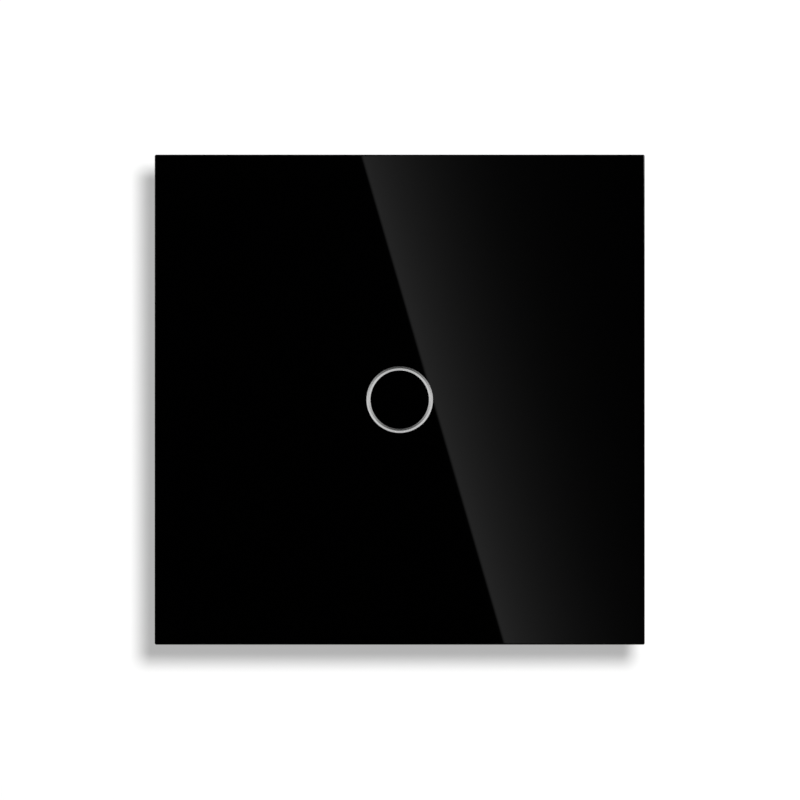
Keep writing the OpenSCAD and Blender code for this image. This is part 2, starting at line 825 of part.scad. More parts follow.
module front_cover() {
    seat = cover_top - body_head_sink - body_head_h;
    color(moulded_white)
        on_wall()
            difference() {
                union() {
                    difference() {
                        union() {
                            slab(body_w, body_corner_r, plate_t, cover_top - cover_edge);
                            translate([0, 0, cover_top - cover_edge])
                                chamfer_layer(body_w, body_corner_r, cover_edge);
                        }
                        slab(body_w - 2 * cover_wall, body_corner_r - cover_wall, plate_t - over, cover_roof);
                    }
                    at_corners(boss_pos)
                        pin(boss_r, plate_t, cover_roof + merge);
                    at_corners(board_stake_pos) {
                        pin(post_d / 2, touch_front, cover_roof + merge);
                        pin(board_stake_d / 2, touch_back - board_stake_end, cover_roof);
                    }
                }
                pin(guide_d / 2 + guide_gap, cover_roof - over, cover_top + over);
                at_corners(boss_pos) {
                    pin(body_screw_d / 2 + screw_fit, plate_t - over, cover_top);
                    pin(body_head_d / 2 + screw_fit, seat, cover_top + over);
                }
                at_clips()
                    box([body_half - cover_wall - over, -clip_w / 2 - catch_gap, plate_t - over],
                        [body_half + over, clip_w / 2 + catch_gap, web_back - catch_rise]);
            }
}

module light_guide() {
    light_top = glass_back - light_gap;
    window_out = (ring_d + ring_w) / 2 + light_margin;
    window_in = (ring_d - ring_w) / 2 - light_margin;
    color(clear_plastic)
        on_wall()
            difference() {
                union() {
                    pin(flange_d / 2, touch_front, cover_roof);
                    pin(guide_d / 2, touch_front, light_top - light_rise);
                    difference() {
                        pin(window_out, touch_front, light_top);
                        pin(window_in, light_top - light_rise, light_top + over);
                    }
                }
                pin(led_pocket_d / 2, touch_front - over, touch_front + led_h + led_room);
            }
}

module light_seal() {
    color(chip_black)
        on_wall()
            difference() {
                pin(guide_d / 2 + guide_gap + seal_w, cover_top, glass_back - light_gap);
                pin(guide_d / 2 + 2 * guide_gap, cover_top - over, glass_back);
            }
}

module touch_board() {
    board_w = body_w - 2 * cover_wall - 2 * touch_board_gap;
    board_r = body_corner_r - cover_wall - touch_board_gap;
    color(board_green)
        on_wall()
            difference() {
                slab(board_w, board_r, touch_back, touch_front);
                at_corners(boss_pos)
                    pin(boss_r + boss_gap, touch_back - over, touch_front + over);
                at_corners(board_stake_pos)
                    pin(board_stake_d / 2 + lead_fit, touch_back - over, touch_front + over);
                for (x = pins)
                    translate([x, header_y, 0])
                        pin(pin_hole_r, touch_back - over, touch_front + over);
            }
}

module touch_pad() {
    color(copper)
        on_wall()
            difference() {
                pin(pad_d / 2, touch_front, touch_front + pad_t);
                pin(flange_d / 2 + pad_gap, touch_front - over, touch_front + pad_t + over);
            }
}

module indicator_leds() {
    color(moulded_white)
        on_wall()
            for (i = [0 : led_count - 1])
                rotate([0, 0, i * 360 / led_count])
                    box([led_pos - led_w / 2, -led_l / 2, touch_front],
                        [led_pos + led_w / 2, led_l / 2, touch_front + led_h]);
}

// Flat chip with bent legs at two sides, standing on level zero
module legged_chip(l, w, h, pitch, leg_w, leg, legs) {
    leg_t = chip_leg_t;
    mid = h / 2;
    box([-l / 2, -w / 2, leg_t], [l / 2, w / 2, h]);
    for (side = [0, 180])
        rotate([0, 0, side])
            for (i = [0 : legs - 1])
                translate([(i - (legs - 1) / 2) * pitch + leg_w / 2, w / 2 - merge, 0])
                    rotate([90, 0, -90])
                        linear_extrude(leg_w)
                            polygon([
                                [0, mid],
                                [-merge - leg / 2, mid],
                                [-merge - leg / 2, leg_t],
                                [-merge - leg, leg_t],
                                [-merge - leg, 0],
                                [leg_t - merge - leg / 2, 0],
                                [leg_t - merge - leg / 2, mid - leg_t],
                                [0, mid - leg_t]
                            ]);
}

module touch_chip() {
    color(chip_black)
        on_wall()
            translate([0, 0, touch_back])
                mirror([0, 0, 1])
                    legged_chip(chip_l, chip_w, chip_h, chip_pitch, chip_leg_w, chip_leg, chip_legs);
}

module small_parts() {
    first = -(small_count - 1) / 2;
    color(moulded_grey)
        on_wall()
            for (y = sides)
                for (i = [0 : small_count - 1])
                    translate([(first + i) * small_pitch, y * small_row, 0])
                        box([-small_l / 2, -small_w / 2, touch_back - small_h],
                            [small_l / 2, small_w / 2, touch_back]);
}

module header_body() {
    color(chip_black)
        on_wall()
            difference() {
                box([-header_l / 2, header_y - header_w / 2, power_front],
                    [header_l / 2, header_y + header_w / 2, touch_back]);
                for (x = pins)
                    translate([x, header_y, 0])
                        pin(pin_hole_r, power_front - over, touch_back + over);
            }
}

module header_pins() {
    color(brass)
        on_wall()
            for (x = pins)
                box([x - pin_w / 2, header_y - pin_w / 2, power_back - lead_end],
                    [x + pin_w / 2, header_y + pin_w / 2, touch_front + pin_front]);
}

module power_board() {
    board_w = body_in - 2 * power_board_gap;
    board_r = body_corner_r - body_wall - power_board_gap;
    color(board_green)
        on_wall()
            difference() {
                slab(board_w, board_r, power_back, power_front);
                at_corners(boss_pos)
                    pin(boss_r + boss_gap, power_back - over, power_front + over);
                for (p = all_leads)
                    translate([p[0], p[1], 0])
                        pin(lead_hole_r, power_back - over, power_front + over);
                for (x = pins)
                    translate([x, header_y, 0])
                        pin(pin_hole_r, power_back - over, power_front + over);
                for (i = poles)
                    translate([i * pole_pitch, tab_y, 0])
                        pin(tab_hole_r, power_back - over, power_front + over);
            }
}

module relay_base() {
    base_l = relay_l - 2 * relay_wall - 2 * relay_fit;
    base_w = relay_w - 2 * relay_wall - 2 * relay_fit;
    color(chip_black)
        on_wall()
            difference() {
                behind_board(relay_x, relay_y)
                    translate([0, 0, relay_base_lift])
                        linear_extrude(relay_base_t)
                            rounded_rect(base_l, base_w, relay_edge_r - relay_wall);
                for (p = concat(coil_leads, [yoke_lead, contact_lead]))
                    behind_board(p[0], p[1])
                        pin(lead_hole_r, 0, base_top + over);
            }
}

module relay_case() {
    color(relay_blue)
        on_wall()
            behind_board(relay_x, relay_y)
                difference() {
                    linear_extrude(relay_h)
                        rounded_rect(relay_l, relay_w, relay_edge_r);
                    translate([0, 0, -over])
                        linear_extrude(relay_h - relay_wall + over)
                            rounded_rect(relay_l - 2 * relay_wall, relay_w - 2 * relay_wall,
                                         relay_edge_r - relay_wall);
                }
}

module relay_yoke() {
    foot_level = base_top + yoke_t / 2;
    color(spring_steel)
        on_wall()
            behind_board(relay_x, relay_y) {
                translate([0, yoke_w / 2, 0])
                    rotate([90, 0, 0])
                        linear_extrude(yoke_w)
                            bent_strip([[coil_x + yoke_foot, foot_level], [leg_x, foot_level],
                                        [leg_x, knife_axis]], yoke_t);
                translate([coil_x, 0, 0]) {
                    pin(core_d / 2, base_top + merge, pole_top);
                    pin(pole_d / 2, pole_bottom, pole_top);
                }
                translate([leg_x, 0, 0])
                    lead(base_top + merge);
            }
}

module relay_coil() {
    bore = core_d / 2 + coil_gap;
    rim = coil_d / 2;
    wound = rim - winding_sink;
    coil_top = coil_bottom + coil_l;
    color(coil_red)
        on_wall()
            behind_board(relay_x + coil_x, relay_y)
                rotate_extrude()
                    polygon([
                        [bore, coil_bottom],
                        [rim, coil_bottom],
                        [rim, coil_bottom + coil_flange_t],
                        [wound, coil_bottom + coil_flange_t],
                        [wound, coil_top - coil_flange_t],
                        [rim, coil_top - coil_flange_t],
                        [rim, coil_top],
                        [bore, coil_top]
                    ]);
}

module relay_coil_pins() {
    color(brass)
        on_wall()
            for (p = coil_leads)
                behind_board(p[0], p[1])
                    lead(coil_bottom + coil_flange_t);
}

module relay_contact() {
    top = contact_level - knife_gap;
    color(copper)
        on_wall()
            behind_board(relay_x + contact_x, relay_y) {
                box([-post_t / 2, -leaf_w / 2, base_top], [post_t / 2, leaf_w / 2, top - contact_h + merge]);
                pin(contact_d / 2, top - contact_h, top);
                lead(base_top + merge);
            }
}

module relay_armature() {
    reach = yoke_reach + armature_reach;
    leaf_end = yoke_reach + leaf_reach;
    color(spring_steel)
        on_wall()
            behind_board(relay_x + leg_x, relay_y)
                translate([0, 0, knife_axis])
                    rotate([0, -armature_angle, 0])
                        translate([0, 0, knife_level - knife_axis]) {
                            box([-armature_tail, -yoke_w / 2, 0], [reach, yoke_w / 2, armature_t]);
                            box([yoke_reach / 2, -leaf_w / 2, armature_t - merge / 2],
                                [leaf_end, leaf_w / 2, armature_t + leaf_t]);
                            translate([yoke_reach + contact_reach, 0, 0])
                                pin(contact_d / 2, moving_contact, armature_t + leaf_t);
                        }
}

module film_capacitor() {
    color(cap_yellow)
        on_wall() {
            behind_board(cap_x, cap_y)
                linear_extrude(cap_h)
                    rounded_rect(cap_l, cap_w, cap_edge_r);
            for (p = cap_leads)
                behind_board(p[0], p[1])
                    lead(merge);
        }
}

module electrolytic_capacitor() {
    r = elco_d / 2;
    low = elco_crimp_level;
    color(can_grey)
        on_wall() {
            behind_board(elco_x, elco_y)
                rotate_extrude()
                    polygon([
                        [0, 0],
                        [r, 0],
                        [r, low],
                        [r - elco_crimp, low + elco_crimp],
                        [r, low + 2 * elco_crimp],
                        [r, elco_h - elco_crimp],
                        [r - elco_crimp, elco_h],
                        [0, elco_h]
                    ]);
            for (p = elco_leads)
                behind_board(p[0], p[1])
                    lead(merge);
        }
}

module varistor() {
    r = varistor_d / 2;
    color(disc_blue)
        on_wall() {
            behind_board(varistor_x, varistor_y)
                translate([0, 0, varistor_lift + r])
                    rotate([0, 90, 0])
                        rotate_extrude()
                            intersection() {
                                rounded_rect(varistor_d, varistor_t, varistor_rim);
                                translate([0, -varistor_t / 2])
                                    square([r, varistor_t]);
                            }
            for (p = varistor_leads)
                behind_board(p[0], p[1])
                    lead(varistor_lift + r);
        }
}

module fuse() {
    r = fuse_d / 2;
    level = fuse_lift + r;
    color(brass)
        on_wall() {
            behind_board(fuse_x, top_row)
                translate([-fuse_l / 2, 0, level])
                    rotate([0, 90, 0]) {
                        cylinder(h = fuse_l, r = r - fuse_cap_rise);
                        for (x = [0, fuse_l - fuse_cap_l])
                            translate([0, 0, x])
                                cylinder(h = fuse_cap_l, r = r);
                    }
            for (p = fuse_leads)
                behind_board(p[0], p[1])
                    lead(level);
        }
}

module choke() {
    r = choke_d / 2;
    color(chip_black)
        on_wall() {
            behind_board(choke_x, top_row)
                rotate_extrude()
                    polygon([
                        [0, 0],
                        [r, 0],
                        [r, choke_disc_t],
                        [r - choke_sink, choke_disc_t],
                        [r - choke_sink, choke_h - choke_disc_t],
                        [r, choke_h - choke_disc_t],
                        [r, choke_h],
                        [0, choke_h]
                    ]);
            for (p = choke_leads)
                behind_board(p[0], p[1])
                    lead(merge);
        }
}

module rectifier() {
    color(chip_black)
        on_wall()
            translate([0, rectifier_y, power_front])
                legged_chip(rectifier_l, rectifier_w, rectifier_h, rectifier_pitch, chip_leg_w, chip_leg,
                            rectifier_legs);
}

module terminal_block() {
    half = (pole_pitch - pole_gap) / 2;
    room = cage_w / 2 + cage_gap;
    hole_r = wire_hole_d / 2;
    color(moulded_black)
        on_wall()
            for (i = poles)
                translate([i * pole_pitch, 0, block_back])
                    difference() {
                        box([-half, block_bottom, 0], [half, block_top, power_back - block_back]);
                        box([-room, block_bottom + wire_wall, chamber_start],
                            [room, block_top + over, chamber_end]);
                        translate([0, screw_y, 0]) {
                            pin(term_head_d / 2 + term_head_gap, -over, head_bore);
                            pin(term_screw_d / 2 + term_hole_gap, 0, chamber_start + over);
                        }
                        translate([0, block_bottom, wire_level])
                            rotate([-90, 0, 0]) {
                                pin(hole_r, 0, wire_wall + over);
                                cylinder(h = wire_mouth, r1 = hole_r + wire_mouth, r2 = hole_r);
                            }
                    }
}

module terminal_tongues() {
    front = block_bottom + wire_wall + cage_gap;
    level = block_back + tongue_start;
    color(copper)
        on_wall()
            for (i = poles)
                translate([i * pole_pitch, 0, 0]) {
                    box([-tongue_w / 2, front, level], [tongue_w / 2, tongue_top, level + tongue_t]);
                    box([-tongue_w / 2, tongue_top - tongue_t, level],
                        [tongue_w / 2, tongue_top, power_back - tongue_gap]);
                    box([-tab_w / 2, tongue_top - tongue_t, level],
                        [tab_w / 2, tongue_top, power_front + lead_end]);
                }
}

// Screw of one pole
module terminal_screw(i) {
    head_start = term_head_sink;
    head_end = term_head_sink + term_head_h;
    color(zinc_steel)
        on_wall()
            translate([i * pole_pitch, screw_y, block_back])
                difference() {
                    union() {
                        pin(term_head_d / 2, head_start, head_end);
                        pin(term_screw_d / 2, head_end - merge, tongue_start - tip_gap);
                    }
                    box([-term_head_d, -drive_w / 2, head_start - over],
                        [term_head_d, drive_w / 2, head_start + drive_depth]);
                }
}

// Rising cage of one pole
module terminal_cage(i) {
    half = cage_w / 2;
    inner = half - cage_side_t;
    color(brass)
        on_wall()
            translate([i * pole_pitch, screw_y, block_back + cage_start])
                difference() {
                    box([-half, -cage_d / 2, 0], [half, cage_d / 2, cage_l]);
                    box([-inner, -cage_d / 2 - over, cage_thread_t],
                        [inner, cage_d / 2 + over, cage_l - cage_clamp_t]);
                    pin(term_screw_d / 2 + cage_thread_fit, -over, cage_thread_t + over);
                }
}

module terminal_screw_1() {
    terminal_screw(poles[0]);
}

module terminal_screw_2() {
    terminal_screw(poles[1]);
}

module terminal_screw_3() {
    terminal_screw(poles[2]);
}

module terminal_cage_1() {
    terminal_cage(poles[0]);
}

module terminal_cage_2() {
    terminal_cage(poles[1]);
}

module terminal_cage_3() {
    terminal_cage(poles[2]);
}

module rear_housing() {
    opening = len(poles) * pole_pitch / 2 + block_gap;
    floor_level = housing_back + floor_t;
    screw_end = cover_top - body_head_sink - body_head_h - body_screw_len;
    first_vent = -(vent_count - 1) / 2;
    color(moulded_grey)
        on_wall()
            difference() {
                union() {
                    difference() {
                        union() {
                            slab(body_w, body_corner_r, housing_back + housing_edge, seat_depth);
                            translate([0, 0, housing_back + housing_edge])
                                mirror([0, 0, 1])
                                    chamfer_layer(body_w, body_corner_r, housing_edge);
                        }
                        slab(body_in, body_corner_r - body_wall, floor_level, seat_depth + over);
                    }
                    at_corners(boss_pos) {
                        pin(boss_r, floor_level - merge, seat_depth);
                        pin(boss_r + boss_step, floor_level - merge, power_back);
                    }
                }
                at_corners(boss_pos)
                    pin(body_screw_d / 2 + thread_fit, screw_end - pilot_room, seat_depth + over);
                box([-opening, -body_half - over, housing_back - over],
                    [opening, block_top + block_gap, power_back]);
                box([-recess_w / 2, recess_y - recess_h / 2, housing_back - over],
                    [recess_w / 2, recess_y + recess_h / 2, housing_back + recess_depth]);
                for (i = [0 : vent_count - 1])
                    translate([(first_vent + i) * vent_pitch, 0, 0])
                        box([-vent_w / 2, body_in / 2 - over, floor_level + vent_rise],
                            [vent_w / 2, body_half + over, floor_level + vent_rise + vent_len]);
            }
}

module body_screws() {
    seat = cover_top - body_head_sink - body_head_h;
    color(spring_steel)
        on_wall()
            at_corners(boss_pos) {
                pin(body_head_d / 2, seat, seat + body_head_h);
                pin(body_screw_d / 2, seat - body_screw_len, seat + merge);
            }
}

glass_panel();
indicator_ring();
adhesive_tape();
carrier_frame();
panel_clips();
mounting_plate();
front_cover();
light_guide();
light_seal();
touch_board();
touch_pad();
indicator_leds();
touch_chip();
small_parts();
header_body();
header_pins();
power_board();
relay_base();
relay_case();
relay_yoke();
relay_coil();
relay_coil_pins();
relay_contact();
relay_armature();
film_capacitor();
electrolytic_capacitor();
varistor();
fuse();
choke();
rectifier();
terminal_block();
terminal_tongues();
terminal_screw_1();
terminal_screw_2();
terminal_screw_3();
terminal_cage_1();
terminal_cage_2();
terminal_cage_3();
rear_housing();
body_screws();
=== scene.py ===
import json
import math

import bmesh
import bpy
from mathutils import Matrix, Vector


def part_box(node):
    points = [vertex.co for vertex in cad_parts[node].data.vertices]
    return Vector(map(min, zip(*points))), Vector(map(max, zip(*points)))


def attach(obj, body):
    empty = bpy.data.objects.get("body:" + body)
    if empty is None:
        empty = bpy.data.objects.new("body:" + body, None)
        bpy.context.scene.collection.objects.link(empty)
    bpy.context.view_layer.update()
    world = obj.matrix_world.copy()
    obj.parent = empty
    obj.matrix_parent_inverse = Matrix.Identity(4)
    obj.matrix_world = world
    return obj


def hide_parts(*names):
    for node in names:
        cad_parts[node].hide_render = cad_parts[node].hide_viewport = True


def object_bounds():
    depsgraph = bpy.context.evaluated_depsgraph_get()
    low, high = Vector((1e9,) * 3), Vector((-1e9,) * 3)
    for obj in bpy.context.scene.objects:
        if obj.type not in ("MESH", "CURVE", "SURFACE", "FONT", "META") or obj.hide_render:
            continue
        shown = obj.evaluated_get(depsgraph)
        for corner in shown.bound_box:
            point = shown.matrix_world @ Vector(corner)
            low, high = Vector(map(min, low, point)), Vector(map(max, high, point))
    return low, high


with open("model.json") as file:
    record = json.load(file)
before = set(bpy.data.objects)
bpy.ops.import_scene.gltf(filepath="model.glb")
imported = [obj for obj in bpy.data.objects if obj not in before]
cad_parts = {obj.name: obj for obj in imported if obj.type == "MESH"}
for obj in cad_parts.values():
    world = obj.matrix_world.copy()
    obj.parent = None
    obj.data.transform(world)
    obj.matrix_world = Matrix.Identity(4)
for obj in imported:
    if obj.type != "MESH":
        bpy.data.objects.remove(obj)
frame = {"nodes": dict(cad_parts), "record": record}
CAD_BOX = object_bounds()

bl_info = {
    "name": "Touch light switch",
    "version": (1, 0, 0),
    "blender": (4, 5, 0),
    "location": "View3D > Sidebar > Switch",
    "description": "Finishes, screws, windings, lights and camera for a glass touch switch",
    "category": "Object",
}

MM = 0.001
POLES = (1, 2, 3)
RECORD_COLOURS = {m["slot"]: tuple(m["base_color"][:3]) for m in frame["record"]["materials"]}

# Colours that have no slot in the record
GLASS_GREEN = (0.005, 0.011, 0.009)
TIN_DARK = (0.5, 0.5, 0.48)
TIN_LIGHT = (0.67, 0.66, 0.63)
TARNISHED_COPPER = (0.42, 0.2, 0.11)
BOBBIN_BLACK = (0.05, 0.05, 0.055)
PHOSPHOR_DARK = (0.86, 0.7, 0.12)
PHOSPHOR_LIGHT = (0.95, 0.82, 0.25)
LED_CAP = (0.8, 0.72, 0.5)
CERAMIC_DARK = (0.7, 0.68, 0.62)
CERAMIC_LIGHT = (0.82, 0.8, 0.75)

# Stains in a metal, as shares of its own colour
ZINC_STAIN = (1.0, 0.97, 0.9)
STEEL_STAIN = (0.9, 0.85, 0.78)
BRASS_STAIN = (0.8, 0.7, 0.55)
SCREW_STAIN = (1.0, 0.95, 0.78)

# Shapes of screws and windings, as counts and as shares of a screw's or a wire's own size
SCREW_SIDES = 48
SLOT_RUN = 1.2
THREAD_POINTS = 28
THREAD_SIDES = 4
THREAD_HEIGHT = 0.43
TIP_WIDTH = 0.55
WINDING_POINTS = 40
WIRE_SIDES = 6
WIRE_SEAT = 0.4


# Settings that a user would change

def tint(slot, name, description):
    return bpy.props.FloatVectorProperty(
        name=name, description=description, subtype="COLOR", size=3, min=0.0, max=1.0,
        default=RECORD_COLOURS[slot])


def length(name, description, default):
    return bpy.props.FloatProperty(
        name=name, description=description, unit="LENGTH", min=0.0, precision=5, default=default)


def place(name, description, default):
    return bpy.props.FloatVectorProperty(
        name=name, description=description, subtype="TRANSLATION", unit="LENGTH", size=3, precision=5,
        default=default)


def level(name, description, default):
    return bpy.props.FloatProperty(name=name, description=description, min=0.0, default=default)


class SwitchColours(bpy.types.PropertyGroup):
    """Colours of the finishes, taken from the record."""

    glass: tint("black_glass", "Glass", "Black coat behind the glass")
    ring: tint("ring_silver", "Ring", "Half-silvered indicator ring")
    tape: tint("tape_black", "Tape", "Foam tape behind the glass")
    carrier: tint("carrier_black", "Carrier", "Moulded carrier frame")
    clips: tint("spring_steel", "Clips", "Spring steel clips")
    plate: tint("plate_zinc", "Plate", "Zinc plated mounting plate")
    cover: tint("cover_white", "Cover", "Moulded front cover")
    guide: tint("guide_clear", "Light guide", "Clear light guide")
    seal: tint("seal_foam", "Seal", "Foam light seal")
    board: tint("board_green", "Boards", "Solder mask of both boards")
    pad: tint("pad_copper", "Touch pad", "Etched copper pad")
    led: tint("led_white", "LEDs", "Bodies of the indicator LEDs")
    chip: tint("chip_black", "Chips", "Moulded chip bodies")
    small: tint("small_grey", "Small parts", "Ceramic of the small board parts")
    header: tint("header_black", "Header", "Body of the pin header")
    pins: tint("pin_brass", "Pins", "Plated pins")
    relay_base: tint("relay_base_black", "Relay base", "Moulded relay base")
    relay_case: tint("relay_case_blue", "Relay case", "Moulded relay case")
    yoke: tint("yoke_steel", "Yoke", "Plated yoke")
    coil: tint("coil_red", "Windings", "Varnished wire of relay coil and choke")
    contact: tint("contact_copper", "Contact", "Stamped fixed contact")
    armature: tint("armature_steel", "Armature", "Plated armature")
    film: tint("cap_yellow", "Film capacitor", "Moulded capacitor box")
    can: tint("can_aluminium", "Electrolytic capacitor", "Drawn aluminium can")
    varistor: tint("disc_blue", "Varistor", "Dipped varistor disc")
    fuse: tint("fuse_brass", "Fuse", "Plated fuse caps")
    choke: tint("choke_black", "Choke", "Ferrite of the choke")
    block: tint("terminal_black", "Terminal blocks", "Moulded pole blocks")
    tongue: tint("tongue_copper", "Tongues", "Stamped terminal tongues")
    screw: tint("screw_zinc", "Terminal screws", "Zinc plated terminal screws")
    cage: tint("cage_brass", "Cages", "Rising terminal cages")
    housing: tint("housing_grey", "Housing", "Moulded rear housing")
    body_screw: tint("body_screw_steel", "Body screws", "Zinc plated body screws")


class SwitchSizes(bpy.types.PropertyGroup):
    """Sizes of the pieces and finishes made here."""

    ring_width: length("Ring width", "Width of the indicator ring", 0.64 * MM)
    ring_vee: length("Ring depth", "Depth of the V in the ring's face", 0.14 * MM)
    arris: length("Arris", "Width of the ground edge of the glass", 0.2 * MM)
    coil_rim: length("Coil rim", "Thickness of a flange of the relay coil", 0.8 * MM)
    coil_sink: length("Coil depth", "Depth of the relay coil's core below its flanges", 0.4 * MM)
    coil_wire: length("Coil wire", "Thickness of the relay coil's wire", 0.14 * MM)
    choke_rim: length("Choke rim", "Thickness of an end disc of the choke", 1.2 * MM)
    choke_sink: length("Choke depth", "Depth of the choke's core below its discs", 0.8 * MM)
    choke_wire: length("Choke wire", "Thickness of the choke's wire", 0.5 * MM)
    terminal_pitch: length("Terminal thread", "Thread pitch of a terminal screw", 0.5 * MM)
    terminal_head: length("Terminal head", "Height of a terminal screw head", 2.2 * MM)
    terminal_shank: length("Terminal shank", "Thickness of a terminal screw", 3.0 * MM)
    terminal_chamfer: length("Terminal chamfer", "Chamfer on a terminal screw head", 0.3 * MM)
    slot_width: length("Slot width", "Width of the slot in a terminal screw", 0.8 * MM)
    slot_depth: length("Slot depth", "Depth of the slot in a terminal screw", 1.0 * MM)
    body_pitch: length("Body thread", "Thread pitch of a body screw", 1.0 * MM)
    body_head: length("Body head", "Height of a body screw head", 1.6 * MM)
    body_head_width: length("Body head width", "Diameter of a body screw head", 4.8 * MM)
    body_shank: length("Body shank", "Thickness of a body screw", 2.6 * MM)
    body_chamfer: length("Body chamfer", "Chamfer on a body screw head", 0.45 * MM)
    cross_width: length("Cross width", "Width of a wing of the cross recess", 0.7 * MM)
    cross_length: length("Cross length", "Length of the cross recess", 2.8 * MM)
    cross_depth: length("Cross depth", "Depth of the cross recess", 1.1 * MM)


class SwitchStage(bpy.types.PropertyGroup):
    """Camera, backdrop and lamps, placed from the middle of the glass's face."""

    camera_place: place("Camera", "Place of the camera", (0.05 * MM, -1.19, -0.06 * MM))
    field: length("Field", "Width of the view at the glass", 130.6 * MM)
    wall_gap: length("Wall gap", "Gap between housing and backdrop", 1.6 * MM)
    wall_width: length("Wall width", "Width of the backdrop", 0.19)
    wall_shade: level("Wall shade", "Brightness of the backdrop in the shadow", 0.44)
    shadow_place: place("Shadow lamp", "Place of the shadow lamp", (70.9 * MM, -1.032, 89.4 * MM))
    shadow_size: length("Shadow lamp size", "Diameter of the shadow lamp", 0.113)
    shadow_power: level("Shadow lamp power", "Power of the shadow lamp", 170.0)
    key_place: place("Key lamp", "Place of the lamp above the front", (0.0, -0.365, 0.65))
    key_power: level("Key power", "Power of the lamp above the front", 4.0)
    right_place: place("Right lamp", "Place of the lamp on the right", (0.85, 0.13, 0.35))
    left_place: place("Left lamp", "Place of the lamp on the left", (-0.8, 0.31, 0.3))
    side_power: level("Side power", "Power of the right and the left lamp", 4.0)
    rear_place: place("Rear lamp", "Place of the lamp behind", (-0.35, 0.91, 0.55))
    rear_power: level("Rear power", "Power of the lamp behind", 6.5)
    sheen: level("Sheen", "Brightness of the card that the glass mirrors", 0.42)
    sheen_edge: length("Sheen edge", "Place of the sheen's edge at the middle of the glass", 5.42 * MM)
    sheen_lean: level("Sheen lean", "Sideways lean of the sheen's edge", 0.292)
    sheen_fade: length("Sheen fade", "Distance over which the sheen fades", 9.5 * MM)


# Node trees

class Socket:
    """One output in a node tree; arithmetic on it adds Math nodes."""

    def __init__(self, tree, output):
        self.tree = tree
        self.output = output

    def __getitem__(self, name):
        return Socket(self.tree, self.output.node.outputs[name])

    def __add__(self, other):
        return self.tree.math("ADD", self, other)

    __radd__ = __add__

    def __sub__(self, other):
        return self.tree.math("SUBTRACT", self, other)

    def __rsub__(self, other):
        return self.tree.math("SUBTRACT", other, self)

    def __mul__(self, other):
        return self.tree.math("MULTIPLY", self, other)

    __rmul__ = __mul__

    def __truediv__(self, other):
        return self.tree.math("DIVIDE", self, other)

    def __rtruediv__(self, other):
        return self.tree.math("DIVIDE", other, self)

    def __neg__(self):
        return self * -1.0

    def __abs__(self):
        return self.tree.math("ABSOLUTE", self)

    def least(self, other):
        return self.tree.math("MINIMUM", self, other)

    def most(self, other):
        return self.tree.math("MAXIMUM", self, other)

    def step(self, low, high):
        """Goes smoothly from 0 at low to 1 at high, which may be the smaller one."""
        return self.tree.node("ShaderNodeMapRange", {"interpolation_type": "SMOOTHSTEP"},
                              {"Value": self, "From Min": low, "From Max": high})


class Tree:
    """Adds nodes to one node tree and links them."""

    def __init__(self, tree):
        self.tree = tree
        tree.nodes.clear()

    def node(self, kind, settings=None, sockets=None, out=0):
        made = self.tree.nodes.new(kind)
        for key, value in (settings or {}).items():
            setattr(made, key, value)
        for key, value in (sockets or {}).items():
            for part in value if isinstance(value, list) else [value]:
                if isinstance(part, Socket):
                    self.tree.links.new(part.output, made.inputs[key])
                else:
                    made.inputs[key].default_value = part
        return Socket(self, made.outputs[out]) if len(made.outputs) else None

    def math(self, operation, *values):
        return self.node("ShaderNodeMath", {"operation": operation}, dict(enumerate(values)))

    def mix(self, factor, first, second):
        ends = [c if isinstance(c, Socket) else (*c, 1.0) for c in (first, second)]
        return self.node("ShaderNodeMix", {"data_type": "RGBA"}, {0: factor, 6: ends[0], 7: ends[1]}, 2)

    def shade(self, factor, colour, dark, light):
        """A colour between a darker and a lighter tone of itself."""
        return self.mix(factor, tone(colour, dark), tone(colour, light))

    def split(self, vector):
        parts = self.node("ShaderNodeSeparateXYZ", {}, {0: vector})
        return parts["X"], parts["Y"], parts["Z"]

    def join(self, x, y, z):
        return self.node("ShaderNodeCombineXYZ", {}, {0: x, 1: y, 2: z})

    def stretch(self, vector, factors):
        return self.node("ShaderNodeVectorMath", {"operation": "MULTIPLY"}, {0: vector, 1: factors})

    def scaled_place(self, scale):
        """Object coordinates times a scale."""
        return self.node("ShaderNodeVectorMath", {"operation": "SCALE"}, {
            0: self.node("ShaderNodeTexCoord", {}, {}, "Object"), "Scale": scale})

    def noise(self, vector, scale, detail=2.0, roughness=0.5):
        return self.node("ShaderNodeTexNoise", {}, {
            "Vector": vector, "Scale": scale, "Detail": detail, "Roughness": roughness}, "Fac")

    def cells(self, vector, scale, feature="F1", spread=1.0, distance="EUCLIDEAN"):
        return self.node("ShaderNodeTexVoronoi", {"feature": feature, "distance": distance}, {
            "Vector": vector, "Scale": scale, "Randomness": spread}, "Distance")

    def bump(self, height, strength, depth):
        return self.node("ShaderNodeBump", {}, {"Height": height, "Strength": strength, "Distance": depth})

    def fading_edge(self, past, rise, fade):
        """A mask that starts at an edge and dies away past it."""
        decay = self.math("EXPONENT", past / -fade)
        return past.step(*rise) * decay.least(1.0)


def tone(colour, factor):
    return tuple(min(1.0, c * factor) for c in colour)


def reach(tree, across, up):
    """Distance from the point at which both values are 0."""
    return tree.math("SQRT", across * across + up * up)


def outside(value, low, high, soft):
    """Mask of what lies outside a stretch."""
    return (value.step(low + soft, low) + value.step(high - soft, high)).least(1.0)


def shader_tree(owner):
    owner.use_nodes = True
    return Tree(owner.node_tree)


